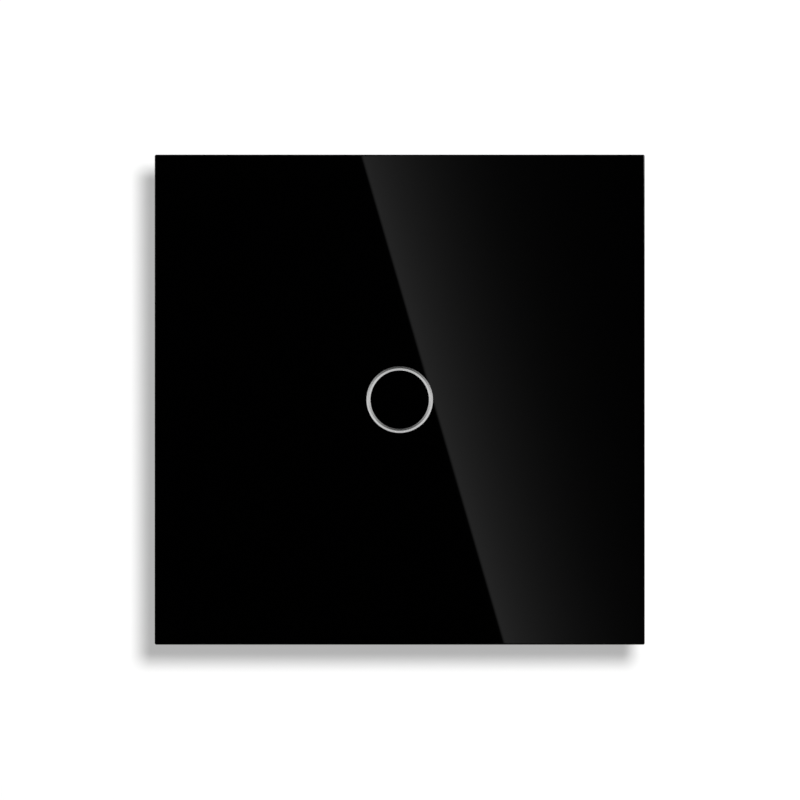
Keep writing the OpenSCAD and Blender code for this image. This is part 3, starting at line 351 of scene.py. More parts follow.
def finish(name, paint, colour, fixed=None, seat=None, **choices):
    """Material whose paint function gets the tree, the place on the piece in millimetres and the colour.

    Where a seat is given, the leads in front of it are tinned.
    """
    made = bpy.data.materials.new(name)
    tree = shader_tree(made)
    at = tree.scaled_place(1 / MM)
    sockets = {**(fixed or {}), **paint(tree, at, tuple(colour), **choices)}
    if seat is not None:
        sockets = tinned(tree, at, sockets, tree.split(at)[1].step(seat, seat - 0.05))
    shader = tree.node("ShaderNodeBsdfPrincipled", {}, sockets)
    tree.node("ShaderNodeOutputMaterial", {}, {"Surface": shader})
    return made


# Finishes, with sizes in millimetres

def polished_glass(tree, at, colour, half, arris, front, back):
    """Polished face, ground greenish sides and a matt coat behind."""
    x, y, z = tree.split(at)
    edge = abs(x).most(abs(z)).step(half - arris - 0.05, half - arris + 0.05)
    satin = edge * y.step(front + arris, front + arris + 0.04)
    coat = y.step(back - 0.06, back - 0.02)
    wipe = tree.noise(tree.stretch(at, (0.05, 1.0, 0.02)), 1.0, 3.0)
    haze = tree.noise(at, 0.09, 4.0, 0.6)
    ground = tree.noise(at, 9.0, 3.0, 0.7)
    polish = 0.004 + 0.004 * wipe + 0.003 * haze
    grinding = edge * (0.06 + 0.06 * ground) + satin * 0.08
    return {
        "Base Color": tree.mix(satin, tree.shade(haze, colour, 0.4, 1.2),
                               tree.shade(ground, GLASS_GREEN, 0.7, 1.3)),
        "Roughness": polish + grinding + coat * (0.3 + 0.1 * ground),
        "Normal": tree.bump(ground * edge.most(coat), 0.12, 0.01 * MM),
    }


def silvered(tree, at, colour):
    """Thin silver on a turned ring."""
    x, y, z = tree.split(at)
    turned = tree.noise(tree.join(reach(tree, x, z), y, 0.0), 16.0, 2.0)
    cloud = tree.noise(at, 0.6, 2.0)
    return {
        "Base Color": tree.shade(cloud, colour, 0.95, 1.04),
        "Metallic": 0.9 + 0.1 * cloud,
        "Roughness": 0.22 + 0.08 * turned,
        "Normal": tree.bump(turned, 0.1, 0.004 * MM),
    }


def moulded(tree, at, colour, grain=0.25, rough=0.46):
    """Plastic with a fine spark-eroded grain and faint flow marks."""
    spark = tree.noise(at, 1.0 / grain, 3.0, 0.65)
    broad = tree.noise(at, 0.06, 3.0)
    flow = tree.noise(tree.stretch(at, (0.035, 0.4, 0.11)), 1.0, 4.0, 0.55)
    return {
        "Base Color": tree.shade(0.55 * broad + 0.45 * flow, colour, 0.88, 1.1),
        "Roughness": rough + 0.2 * (spark - 0.5) + 0.1 * (flow - 0.5),
        "Normal": tree.bump(spark, 0.55, 0.012 * MM),
    }


def foam(tree, at, colour, cell=0.18):
    """Cellular foam."""
    bubble = tree.cells(at, 1.0 / cell)
    cloud = tree.noise(at, 0.8, 2.0)
    return {
        "Base Color": tree.shade(bubble * 0.7 + cloud * 0.3, colour, 0.55, 1.5),
        "Roughness": 0.8 + 0.15 * bubble,
        "Normal": tree.bump(bubble, 0.6, 0.05 * MM),
    }


def rolled(tree, at, colour, run=(0.05, 5.0, 5.0), rough=0.3, stain=ZINC_STAIN):
    """Metal with stains, and with streaks that are long where run is small."""
    streak = tree.noise(tree.stretch(at, run), 1.0, 4.0, 0.6)
    cloud = tree.noise(at, 0.14, 4.0, 0.6)
    speck = tree.noise(at, 3.0, 2.0)
    stained = tuple(c * s * 0.82 for c, s in zip(colour, stain))
    return {
        "Base Color": tree.mix(cloud.step(0.3, 0.75), stained, tone(colour, 1.05)),
        "Metallic": 1.0,
        "Roughness": rough + 0.16 * (cloud - 0.5) + 0.14 * (streak - 0.5) + 0.06 * (speck - 0.5),
        "Normal": tree.bump(streak + 0.4 * speck, 0.3, 0.006 * MM),
    }


def zinc_plate(tree, at, colour, pitch, washer=4.0, longer=1.35):
    """Zinc crystals, worn bright round the slots in marks that are longer than wide."""
    x, _, z = tree.split(at)
    outward = abs(x).most(abs(z)) - pitch / 2
    far = reach(tree, outward / longer, abs(x).least(abs(z)))
    worn = far.step(washer + 0.7, washer) * (0.5 + 0.5 * tree.noise(at, 0.7, 3.0))
    bent = 1.6 * tree.noise(at, 0.9, 3.0, 0.6)
    crystals = tree.node("ShaderNodeTexVoronoi", {}, {
        "Vector": tree.join(x + bent, 0.0, z - bent), "Scale": 0.42}, "Color")
    crystal = tree.split(crystals)[0]
    feather = tree.noise(tree.stretch(at, (0.5, 1.0, 2.2)), 1.0, 4.0, 0.65)
    cloud = tree.noise(at, 0.05, 3.0)
    scratch = tree.noise(tree.stretch(at, (2.5, 2.5, 0.3)), 1.0, 5.0, 0.7).step(0.62, 0.72)
    zinc = tree.shade(0.4 * crystal + 0.35 * feather + 0.25 * cloud, colour, 0.72, 1.16)
    return {
        "Base Color": tree.mix(worn * 0.5, zinc, tone(colour, 1.15)),
        "Metallic": 1.0,
        "Roughness": 0.34 + 0.14 * (crystal - 0.5) + 0.1 * (feather - 0.5) - 0.1 * worn + 0.1 * scratch,
        "Normal": tree.bump(feather + 0.5 * crystal, 0.3, 0.006 * MM),
    }


def tinned(tree, at, sockets, bare):
    """The given finish, with tin where the bare mask is 1."""
    grain = tree.noise(at, 8.0, 3.0)
    sockets["Base Color"] = tree.mix(bare, sockets["Base Color"], tree.mix(grain, TIN_DARK, TIN_LIGHT))
    sockets["Metallic"] = bare
    return sockets


def solder_mask(tree, at, colour):
    """Green lacquer over copper areas and glass weave, with tinned vias."""
    x, _, z = tree.split(at)
    flat = tree.join(x, 0.0, z)
    first, second = (tree.cells(flat, 0.22, feature, 0.7, "CHEBYCHEV") for feature in ("F1", "F2"))
    track = (second - first).step(0.07, 0.1)
    via = tree.cells(flat, 0.42, "F1", 0.85).step(0.16, 0.13)
    weave = tree.math("SINE", x * 9.0) * tree.math("SINE", z * 9.0)
    speck = tree.noise(at, 2.2, 3.0)
    mask = tree.mix(0.12 * weave + 0.12 * speck, tree.shade(track, colour, 0.6, 1.6), tone(colour, 0.5))
    return tinned(tree, at, {
        "Base Color": mask,
        "Roughness": 0.24 + 0.14 * speck + 0.12 * via,
        "Normal": tree.bump(track * 0.6 + via + 0.15 * weave, 0.5, 0.02 * MM),
    }, via)


def etched(tree, at, colour):
    """Bare copper with tarnish."""
    grain = tree.noise(at, 4.0, 4.0, 0.7)
    tarnish = tree.noise(at, 0.35, 3.0).step(0.42, 0.72)
    return {
        "Base Color": tree.mix(tarnish, tone(colour, 1.05), TARNISHED_COPPER),
        "Metallic": 1.0,
        "Roughness": 0.26 + 0.18 * tarnish + 0.1 * (grain - 0.5),
        "Normal": tree.bump(grain, 0.25, 0.008 * MM),
    }


def stamped(tree, at, colour, run=(0.4, 6.0, 0.4), rough=0.26):
    """Stamped brass or copper."""
    return rolled(tree, at, colour, run, rough, BRASS_STAIN)


def led_body(tree, at, colour, circle, lens=0.44, cap=0.72):
    """Three LEDs on a circle, each with a yellow lens between two metal caps."""
    x, _, z = tree.split(at)
    third = 2 * math.pi / 3
    turn = tree.math("ARCTAN2", z, x) + third / 2
    local = tree.math("WRAP", turn, third, 0.0) - third / 2
    far = reach(tree, x, z)
    across = far * tree.math("COSINE", local) - circle
    along = far * tree.math("SINE", local)
    metal = abs(along).step(cap, cap + 0.06)
    window = reach(tree, across, along).step(lens + 0.06, lens)
    grain = tree.noise(at, 8.0, 3.0)
    phosphor = tree.mix(grain, PHOSPHOR_DARK, PHOSPHOR_LIGHT)
    body = tree.mix(window, tree.shade(grain, colour, 0.92, 1.05), phosphor)
    return {
        "Base Color": tree.mix(metal, body, LED_CAP),
        "Metallic": metal * 0.9,
        "Roughness": 0.35 - 0.2 * window + 0.1 * grain,
        "Normal": tree.bump(grain, 0.1, 0.01 * MM),
    }


def chip_body(tree, at, colour, middle, half, dot=0.3):
    """Matt moulded chip with tinned legs above and below, and a round mark for the first leg."""
    x, _, z = tree.split(at)
    leg = abs(z - middle).step(half + 0.01, half + 0.05)
    grain = tree.noise(at, 9.0, 3.0, 0.7)
    mark = reach(tree, x + half * 0.7, z - middle + half * 0.5).step(dot + 0.05, dot)
    return tinned(tree, at, {
        "Base Color": tree.shade(grain, colour, 0.8, 1.35),
        "Roughness": 0.55 + 0.12 * (grain - 0.5) - 0.25 * leg,
        "Normal": tree.bump(grain - 2.0 * mark, 0.4, 0.012 * MM),
    }, leg)


def small_part(tree, at, colour, pitch, half, cap=0.34):
    """Row of ceramic parts, some darker, with a tinned cap at each end."""
    along = abs(tree.math("WRAP", tree.split(at)[0], pitch, 0.0) - pitch / 2)
    grain = tree.noise(at, 8.0, 3.0)
    cloud = tree.noise(at, 0.35, 2.0).step(0.4, 0.6)
    return tinned(tree, at, {
        "Base Color": tree.mix(cloud, tone(colour, 1.15), tone(colour, 0.5)),
        "Roughness": 0.36 + 0.15 * (grain - 0.5),
        "Normal": tree.bump(grain, 0.2, 0.008 * MM),
    }, along.step(half - cap, half - cap + 0.06))


def spool(tree, at, colour, low, high, rim_colour):
    """Core in one colour between two flanges in another."""
    rim = outside(tree.split(at)[1], low, high, 0.02)
    grain = tree.noise(at, 6.0, 3.0)
    return {
        "Base Color": tree.mix(rim, tree.shade(grain, colour, 0.75, 1.1),
                               tree.shade(grain, rim_colour, 0.85, 1.15)),
        "Roughness": 0.3 + 0.1 * grain + 0.2 * rim,
        "Normal": tree.bump(grain, 0.2, 0.01 * MM),
    }


def enamelled(tree, at, colour):
    """Varnished copper wire."""
    layer = tree.noise(tree.stretch(at, (0.4, 3.0, 0.4)), 1.0, 2.0)
    grain = tree.noise(at, 6.0, 3.0)
    return {
        "Base Color": tree.shade(layer, colour, 0.8, 1.35),
        "Metallic": 0.6,
        "Roughness": 0.24 + 0.12 * grain,
        "Normal": tree.bump(grain, 0.1, 0.01 * MM),
    }


def drawn_can(tree, at, colour, middle, end):
    """Drawn aluminium with a cross scored in its end."""
    x, y, z = tree.split(at)
    streak = tree.noise(tree.stretch(at, (4.0, 0.15, 4.0)), 1.0, 4.0, 0.6)
    scores = [abs(side).step(0.22, 0.12) for side in (x - middle.x, z - middle.z)]
    vent = y.step(end - 0.1, end - 0.02) * (scores[0] + scores[1]).least(1.0)
    cloud = tree.noise(at, 0.3, 3.0)
    return {
        "Base Color": tree.shade(cloud, colour, 0.9, 1.05),
        "Metallic": 1.0,
        "Roughness": 0.3 + 0.14 * (streak - 0.5) + 0.1 * vent,
        "Normal": tree.bump(0.15 * streak - vent, 0.7, 0.05 * MM),
    }


def glossy_cast(tree, at, colour, peel=0.7, rough=0.22):
    """Glossy resin or plastic with a soft orange peel."""
    skin = tree.noise(at, 1.0 / peel, 2.0)
    speck = tree.noise(at, 7.0, 2.0)
    cloud = tree.noise(at, 0.12, 3.0)
    return {
        "Base Color": tree.shade(cloud, colour, 0.86, 1.12),
        "Roughness": rough + 0.1 * (speck - 0.5) + 0.08 * (cloud - 0.5),
        "Normal": tree.bump(skin + 0.2 * speck, 0.35, 0.015 * MM),
    }


def dipped_disc(tree, at, colour, radius, along, up):
    """Dipped disc with its middle at the given place, on tinned leads."""
    _, y, z = tree.split(at)
    far = reach(tree, y - along, z - up)
    return tinned(tree, at, glossy_cast(tree, at, colour, peel=0.9, rough=0.3),
                  far.step(radius, radius + 0.05))


def fuse_tube(tree, at, colour, low, high, cap=2.0):
    """Ceramic tube between two plated caps."""
    metal = outside(tree.split(at)[0], low + cap, high - cap, 0.03)
    streak = tree.noise(tree.stretch(at, (3.0, 0.6, 0.6)), 1.0, 3.0)
    glaze = tree.noise(at, 1.2, 3.0)
    return {
        "Base Color": tree.mix(metal, tree.mix(glaze, CERAMIC_DARK, CERAMIC_LIGHT),
                               tree.shade(streak, colour, 0.85, 1.1)),
        "Metallic": metal,
        "Roughness": 0.2 + 0.2 * streak,
        "Normal": tree.bump(glaze + 0.5 * streak, 0.2, 0.01 * MM),
    }


def clear_plastic(tree, at, colour):
    """Clear moulded plastic."""
    flow = tree.noise(at, 0.5, 3.0)
    speck = tree.noise(at, 9.0, 2.0)
    return {
        "Base Color": tree.shade(flow, colour, 0.96, 1.06),
        "Roughness": 0.05 + 0.08 * speck,
        "Normal": tree.bump(flow, 0.08, 0.02 * MM),
    }


# Pieces

def box_mm(node):
    """Lowest and highest corner of a CAD node, in millimetres."""
    return [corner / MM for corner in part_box(node)]


def dress(nodes, name, paint, colour, **choices):
    """Gives one CAD node, or several, a new finish."""
    material = finish(name, paint, colour, **choices)
    for node in [nodes] if isinstance(nodes, str) else nodes:
        for slot in frame["nodes"][node].material_slots:
            slot.material = material


def dress_chip(node, name, colour, leg=1.0):
    """Gives a chip its finish, with legs of the given length above and below."""
    low, high = box_mm(node)
    dress(node, name, chip_body, colour, middle=(low.z + high.z) / 2, half=(high.z - low.z) / 2 - leg)


def smooth(mesh, angle=30):
    mesh.polygons.foreach_set("use_smooth", [True] * len(mesh.polygons))
    mesh.set_sharp_from_angle(angle=math.radians(angle))


def add_piece(mesh, body, slot, *nodes):
    """Makes a mesh a piece that rides on a body and stands for CAD nodes, if any."""
    piece = bpy.data.objects.new(mesh.name, mesh)
    bpy.context.scene.collection.objects.link(piece)
    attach(piece, body)
    if nodes:
        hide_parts(*nodes)


def lathe(name, profile, sides):
    """Closed profile of radius and depth, turned about the axis that runs through the wall."""
    shell = bmesh.new()
    rings = []
    for i in range(sides):
        turn = 2 * math.pi * i / sides
        rings.append([shell.verts.new((r * math.cos(turn), y, r * math.sin(turn))) for r, y in profile])
    count = len(profile)
    for i in range(sides):
        here, there = rings[i], rings[(i + 1) % sides]
        for j in range(count):
            k = (j + 1) % count
            shell.faces.new((here[j], here[k], there[k], there[j]))
    bmesh.ops.recalc_face_normals(shell, faces=shell.faces)
    mesh = bpy.data.meshes.new(name)
    shell.to_mesh(mesh)
    shell.free()
    smooth(mesh)
    return mesh


WINDING_INPUTS = ("Radius", "Length", "Wire")
SCREW_INPUTS = (
    "Head Radius", "Head Height", "Chamfer", "Shank Radius", "Shank Length", "Pitch",
    "Drive Length", "Drive Width", "Drive Depth", "Spacing")


def open_tree(name, numbers, **others):
    """Geometry tree with the named number inputs, a place, a finish and inputs of other kinds."""
    group = bpy.data.node_groups.new(name, "GeometryNodeTree")
    group.interface.new_socket("Shape", in_out="OUTPUT", socket_type="NodeSocketGeometry")
    kinds = dict.fromkeys(numbers, "NodeSocketFloat")
    kinds.update(Place="NodeSocketVector", Finish="NodeSocketMaterial", **others)
    identifiers = {}
    for label, kind in kinds.items():
        identifiers[label] = group.interface.new_socket(label, in_out="INPUT", socket_type=kind).identifier
    tree = Tree(group)
    return group, identifiers, tree, tree.node("NodeGroupInput")


def close_tree(tree, given, shape):
    """Ends a geometry tree with real copies in the given finish."""
    real = tree.node("GeometryNodeRealizeInstances", {}, {"Geometry": shape})
    done = tree.node("GeometryNodeSetMaterial", {}, {"Geometry": real, "Material": given["Finish"]})
    tree.node("NodeGroupOutput", {}, {0: done})


def spiral_tube(tree, radius, rise, turns, points, tube, sides):
    """Tube of a radius along a spiral that rises from the origin, with a number of points to each turn."""
    path = tree.node("GeometryNodeCurveSpiral", {}, {
        "Resolution": points, "Rotations": turns, "Start Radius": radius, "End Radius": radius,
        "Height": rise, "Reverse": False})
    section = tree.node("GeometryNodeCurvePrimitiveCircle", {}, {"Resolution": sides, "Radius": tube})
    return tree.node("GeometryNodeCurveToMesh", {}, {
        "Curve": path, "Profile Curve": section, "Fill Caps": True})


def winding_tree():
    """One layer of wire on a core whose axis runs through the wall."""
    group, identifiers, tree, given = open_tree("winding", WINDING_INPUTS)
    radius, span, wire = (given[label] for label in WINDING_INPUTS)
    layer = spiral_tube(tree, radius, span - wire, span / wire - 1.0, WINDING_POINTS, wire / 2.0,
                        WIRE_SIDES)
    placed = tree.node("GeometryNodeTransform", {}, {
        "Geometry": layer, "Translation": given["Place"], "Rotation": (-math.pi / 2, 0.0, 0.0)})
    close_tree(tree, given, placed)
    return group, identifiers


def screw_tree(name, cross, tip_up):
    """Threaded screws with a slot or a cross recess, on a square of points."""
    group, identifiers, tree, given = open_tree(name, SCREW_INPUTS, Count="NodeSocketInt")
    head_r, head_h, chamfer, shank_r, shank_l, pitch, drive_l, drive_w, drive_d, spacing = (
        given[label] for label in SCREW_INPUTS)

    def moved(shape, z, turn=0.0):
        return tree.node("GeometryNodeTransform", {}, {
            "Geometry": shape, "Translation": tree.join(0.0, 0.0, z), "Rotation": (0.0, 0.0, turn)})

    def cylinder(radius, height):
        return tree.node("GeometryNodeMeshCylinder", {}, {
            "Vertices": SCREW_SIDES, "Radius": radius, "Depth": height})

    def cone(low, high, height):
        return tree.node("GeometryNodeMeshCone", {}, {
            "Vertices": SCREW_SIDES, "Radius Bottom": low, "Radius Top": high, "Depth": height})

    def boolean(operation, meshes):
        return tree.node("GeometryNodeMeshBoolean", {"operation": operation, "solver": "MANIFOLD"}, meshes)

    crest = pitch * THREAD_HEIGHT
    core = shank_r - crest
    head = boolean("UNION", {"Mesh 2": [
        moved(cylinder(head_r, head_h - chamfer), (head_h - chamfer) / 2),
        moved(cone(head_r, head_r - chamfer, chamfer), head_h - chamfer)]})
    box = tree.node("GeometryNodeMeshCube", {}, {"Size": tree.join(drive_l, drive_w, drive_d * 2.0)})
    cuts = [moved(box, head_h, turn) for turn in ((0.0, math.pi / 2) if cross else (0.0,))]
    head = boolean("DIFFERENCE", {"Mesh 1": head, "Mesh 2": cuts})
    rod = moved(cylinder(core, shank_l - crest * 0.5), (shank_l - crest) * -0.5)
    tip = moved(cone(core * TIP_WIDTH, core, crest * 1.5), -shank_l)
    rise = shank_l - pitch * 2.0
    thread = spiral_tube(tree, core, rise, rise / pitch, THREAD_POINTS, crest, THREAD_SIDES)
    screw = boolean("UNION", {"Mesh 2": [head, rod, tip, moved(thread, pitch - shank_l)]})
    turned = tree.node("GeometryNodeTransform", {}, {
        "Geometry": screw, "Rotation": (math.pi / 2 if tip_up else -math.pi / 2, 0.0, 0.0)})
    grid = tree.node("GeometryNodeMeshGrid", {}, {
        "Size X": spacing, "Size Y": spacing, "Vertices X": given["Count"], "Vertices Y": given["Count"]})
    points = tree.node("GeometryNodeTransform", {}, {
        "Geometry": grid, "Translation": given["Place"], "Rotation": (math.pi / 2, 0.0, 0.0)})
    copies = tree.node("GeometryNodeInstanceOnPoints", {}, {"Points": points, "Instance": turned})
    close_tree(tree, given, copies)
    return group, identifiers


def tree_mesh(name, group, identifiers, values):
    """Plain mesh of a geometry tree with the given inputs."""
    holder = bpy.data.objects.new(name + "_maker", bpy.data.meshes.new(name + "_maker"))
    bpy.context.scene.collection.objects.link(holder)
    modifier = holder.modifiers.new("maker", "NODES")
    modifier.node_group = group
    for label, value in values.items():
        modifier[identifiers[label]] = value
    graph = bpy.context.evaluated_depsgraph_get()
    mesh = bpy.data.meshes.new_from_object(holder.evaluated_get(graph))
    bpy.data.objects.remove(holder)
    if not mesh.polygons:
        raise RuntimeError(f"{name}: the geometry tree made no faces")
    mesh.name = name
    smooth(mesh)
    return mesh


class SwitchPiece(bpy.types.Operator):
    """Shared part of the piece makers, each of which has its own make."""

    bl_idname = "switch.piece"
    bl_label = "Piece"
    bl_options = {"REGISTER", "UNDO"}

    def execute(self, context):
        self.make(context.scene.switch_colours, context.scene.switch_sizes)
        return {"FINISHED"}


class SWITCH_OT_glass(SwitchPiece):
    """Finish of the black glass panel"""

    bl_idname = "switch.glass"
    bl_label = "Glass panel"

    def make(self, colours, sizes):
        low, high = box_mm("glass_panel")
        dress("glass_panel", "black_glass", polished_glass, colours.glass, fixed={"IOR": 1.5},
              half=high.x, arris=sizes.arris / MM, front=low.y, back=high.y)


class SWITCH_OT_ring(SwitchPiece):
    """Indicator ring with a rounded V in its face"""

    bl_idname = "switch.ring"
    bl_label = "Indicator ring"

    def make(self, colours, sizes):
        low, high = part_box("indicator_ring")
        outer = high.x
        half = sizes.ring_width / 2
        blunt = 0.04
        steps = 16
        face = []
        for i in range(steps + 1):
            across = 2 * i / steps - 1
            rise = (math.hypot(across, blunt) - blunt) / (math.hypot(1, blunt) - blunt)
            face.append((outer - half + half * across, low.y + sizes.ring_vee * (1 - rise)))
        profile = [(outer - sizes.ring_width, high.y), *face, (outer, high.y)]
        mesh = lathe("indicator_ring_smooth", profile, sides=192)
        mesh.materials.append(finish("ring_silver", silvered, colours.ring))
        add_piece(mesh, "panel", "ring_silver", "indicator_ring")


class SWITCH_OT_panel_back(SwitchPiece):
    """Finishes of tape, carrier frame and spring clips"""

    bl_idname = "switch.panel_back"
    bl_label = "Back of the panel"

    def make(self, colours, sizes):
        dress("adhesive_tape", "tape_black", foam, colours.tape, cell=0.12)
        dress("carrier_frame", "carrier_black", moulded, colours.carrier, grain=0.3, rough=0.5)
        dress("panel_clips", "spring_steel", rolled, colours.clips, run=(0.3, 0.3, 6.0), rough=0.26,
              stain=STEEL_STAIN)


class SWITCH_OT_plate(SwitchPiece):
    """Finish of the zinc plated mounting plate"""

    bl_idname = "switch.plate"
    bl_label = "Mounting plate"

    def make(self, colours, sizes):
        mounts = [mount["dims"] for mount in frame["record"]["mounts"]]
        pitches = [dims["spacing_x_mm"] for dims in mounts if "spacing_x_mm" in dims]
        dress("mounting_plate", "plate_zinc", zinc_plate, colours.plate, pitch=pitches[0])


class SWITCH_OT_shell(SwitchPiece):
    """Finishes of front cover and rear housing"""

    bl_idname = "switch.shell"
    bl_label = "Module shell"

    def make(self, colours, sizes):
        dress("front_cover", "cover_white", moulded, colours.cover, grain=0.3, rough=0.5)
        dress("rear_housing", "housing_grey", moulded, colours.housing, grain=0.32, rough=0.52)


class SWITCH_OT_touch_parts(SwitchPiece):
    """Finishes of light guide, seal, both boards, pins and what is on the touch board"""

    bl_idname = "switch.touch_parts"
    bl_label = "Touch board and light guide"

    def make(self, colours, sizes):
        dress("light_guide", "guide_clear", clear_plastic, colours.guide,
              fixed={"Transmission Weight": 0.85, "IOR": 1.49})
        dress("light_seal", "seal_foam", foam, colours.seal)
        dress(("touch_board", "power_board"), "board_green", solder_mask, colours.board)
        dress("touch_pad", "pad_copper", etched, colours.pad)
        dress("indicator_leds", "led_white", led_body, colours.led, circle=2.8)
        dress_chip("touch_chip", "chip_black", colours.chip)
        dress("small_parts", "small_grey", small_part, colours.small, pitch=3.0, half=0.8)
        dress("header_body", "header_black", moulded, colours.header, grain=0.15)
        dress(("header_pins", "relay_coil_pins"), "pin_brass", stamped, colours.pins)


class SWITCH_OT_relay(SwitchPiece):
    """Finishes of the relay's pieces"""

    bl_idname = "switch.relay"
    bl_label = "Relay"

    def make(self, colours, sizes):
        low, high = box_mm("relay_coil")
        rim = sizes.coil_rim / MM
        dress("relay_base", "relay_base_black", moulded, colours.relay_base, grain=0.2)
        dress("relay_case", "relay_case_blue", glossy_cast, colours.relay_case)
        dress("relay_yoke", "yoke_steel", rolled, colours.yoke, run=(0.4, 0.4, 5.0))
        dress("relay_armature", "armature_steel", rolled, colours.armature, run=(0.3, 5.0, 5.0))
        dress("relay_contact", "contact_copper", etched, colours.contact)
        dress("relay_coil", "coil_red", spool, colours.coil, low=low.y + rim, high=high.y - rim,
              rim_colour=BOBBIN_BLACK)


class SWITCH_OT_power_parts(SwitchPiece):
    """Finishes of the parts on the power board"""

    bl_idname = "switch.power_parts"
    bl_label = "Power parts"

    def make(self, colours, sizes):
        seat = box_mm("power_board")[1].y
        dress("film_capacitor", "cap_yellow", glossy_cast, colours.film, seat=seat, peel=1.1)
        low, high = box_mm("electrolytic_capacitor")
        dress("electrolytic_capacitor", "can_aluminium", drawn_can, colours.can,
              middle=(low + high) / 2, end=high.y)
        low, high = box_mm("varistor")
        radius = (high.z - low.z) / 2
        dress("varistor", "disc_blue", dipped_disc, colours.varistor, radius=radius,
              along=high.y - radius, up=(low.z + high.z) / 2)
        low, high = box_mm("fuse")
        dress("fuse", "fuse_brass", fuse_tube, colours.fuse, low=low.x, high=high.x)
        low, high = box_mm("choke")
        rim = sizes.choke_rim / MM
        dress("choke", "choke_black", spool, colours.coil, seat=seat, low=seat + rim, high=high.y - rim,
              rim_colour=colours.choke)
        dress_chip("rectifier", "bridge_black", colours.chip)


class SWITCH_OT_windings(SwitchPiece):
    """Wire on the relay coil and on the choke"""

    bl_idname = "switch.windings"
    bl_label = "Windings"

    def make(self, colours, sizes):
        tree = winding_tree()
        material = finish("coil_wire", enamelled, colours.coil)
        self.wind(tree, material, "relay_coil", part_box("relay_coil")[0].y, sizes.coil_rim,
                  sizes.coil_sink, sizes.coil_wire)
        self.wind(tree, material, "choke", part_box("power_board")[1].y, sizes.choke_rim,
                  sizes.choke_sink, sizes.choke_wire)

    def wind(self, tree, material, node, foot, rim, sink, wire):
        """Fills the core of a spool that stands on the given foot."""
        low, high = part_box(node)
        core = (high.x - low.x) / 2 - sink
        mesh = tree_mesh(f"{node}_winding", *tree, {
            "Radius": core + WIRE_SEAT * wire, "Length": high.y - foot - 2 * rim, "Wire": wire,
            "Place": Vector(((low.x + high.x) / 2, foot + rim + wire / 2, (low.z + high.z) / 2)),
            "Finish": material})
        add_piece(mesh, "base", "coil_red")


class SWITCH_OT_terminals(SwitchPiece):
    """Finishes of pole blocks, tongues and cages"""

    bl_idname = "switch.terminals"
    bl_label = "Terminals"

    def make(self, colours, sizes):
        dress("terminal_block", "terminal_black", moulded, colours.block, grain=0.22, rough=0.42)
        dress("terminal_tongues", "tongue_copper", stamped, colours.tongue, run=(4.0, 0.4, 0.4))
        dress([f"terminal_cage_{pole}" for pole in POLES], "cage_brass", stamped, colours.cage,
              run=(4.0, 0.3, 0.3), rough=0.28)


class SWITCH_OT_terminal_screws(SwitchPiece):
    """Slotted and threaded terminal screws, one on each screw body"""

    bl_idname = "switch.terminal_screws"
    bl_label = "Terminal screws"

    def make(self, colours, sizes):
        material = finish("screw_zinc", rolled, colours.screw, run=(0.8, 3.0, 0.8), stain=SCREW_STAIN)
        tree = screw_tree("slotted_screw", cross=False, tip_up=False)
        for pole in POLES:
            node = f"terminal_screw_{pole}"
            low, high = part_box(node)
            centre = (low + high) / 2
            width = high.x - low.x
            seat = high.y - sizes.terminal_head
            mesh = tree_mesh(f"{node}_threaded", *tree, {
                "Head Radius": width / 2, "Head Height": sizes.terminal_head,
                "Chamfer": sizes.terminal_chamfer, "Shank Radius": sizes.terminal_shank / 2,
                "Shank Length": seat - low.y, "Pitch": sizes.terminal_pitch,
                "Drive Length": width * SLOT_RUN, "Drive Width": sizes.slot_width,
                "Drive Depth": sizes.slot_depth, "Spacing": 0.0,
                "Place": Vector((centre.x, seat, centre.z)), "Finish": material, "Count": 1})
            add_piece(mesh, f"screw_{pole}", "screw_zinc", node)


class SWITCH_OT_body_screws(SwitchPiece):
    """Cross recessed screws that hold cover, plate and housing together"""

    bl_idname = "switch.body_screws"
    bl_label = "Body screws"

    def make(self, colours, sizes):
        material = finish("body_screw_steel", rolled, colours.body_screw, run=(0.8, 3.0, 0.8), rough=0.28)
        tree = screw_tree("cross_screws", cross=True, tip_up=True)
        low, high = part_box("body_screws")
        seat = low.y + sizes.body_head
        mesh = tree_mesh("body_screws_threaded", *tree, {
            "Head Radius": sizes.body_head_width / 2, "Head Height": sizes.body_head,
            "Chamfer": sizes.body_chamfer, "Shank Radius": sizes.body_shank / 2,
            "Shank Length": high.y - seat, "Pitch": sizes.body_pitch,
            "Drive Length": sizes.cross_length, "Drive Width": sizes.cross_width,
            "Drive Depth": sizes.cross_depth, "Spacing": high.x - low.x - sizes.body_head_width,
            "Place": Vector((0.0, seat, 0.0)), "Finish": material, "Count": 2})
        add_piece(mesh, "base", "body_screw_steel", "body_screws")


# Stage

def area_lamp(name, spot, size, power, shape="SQUARE"):
    """Lamp that the camera doesn't see, aimed at the origin."""
    data = bpy.data.lights.new(name, "AREA")
    data.shape = shape
    data.size = size
    data.energy = power
    lamp = bpy.data.objects.new(name, data)
    lamp.location = spot
    lamp.rotation_euler = (-spot).to_track_quat("-Z", "Y").to_euler()
    lamp.visible_camera = False
    bpy.context.scene.collection.objects.link(lamp)
    return lamp


def upright_card(name, width, y, unseen_by):
    """Square card that faces the front, hidden from some kinds of ray, and the tree of its material."""
    half = width / 2
    mesh = bpy.data.meshes.new(name)
    mesh.from_pydata([(-half, y, -half), (half, y, -half), (half, y, half), (-half, y, half)], [],
                     [(0, 1, 2, 3)])
    card = bpy.data.objects.new(name, mesh)
    bpy.context.scene.collection.objects.link(card)
    for kind in unseen_by:
        setattr(card, "visible_" + kind, False)
    material = bpy.data.materials.new(name)
    mesh.materials.append(material)
    return card, shader_tree(material)


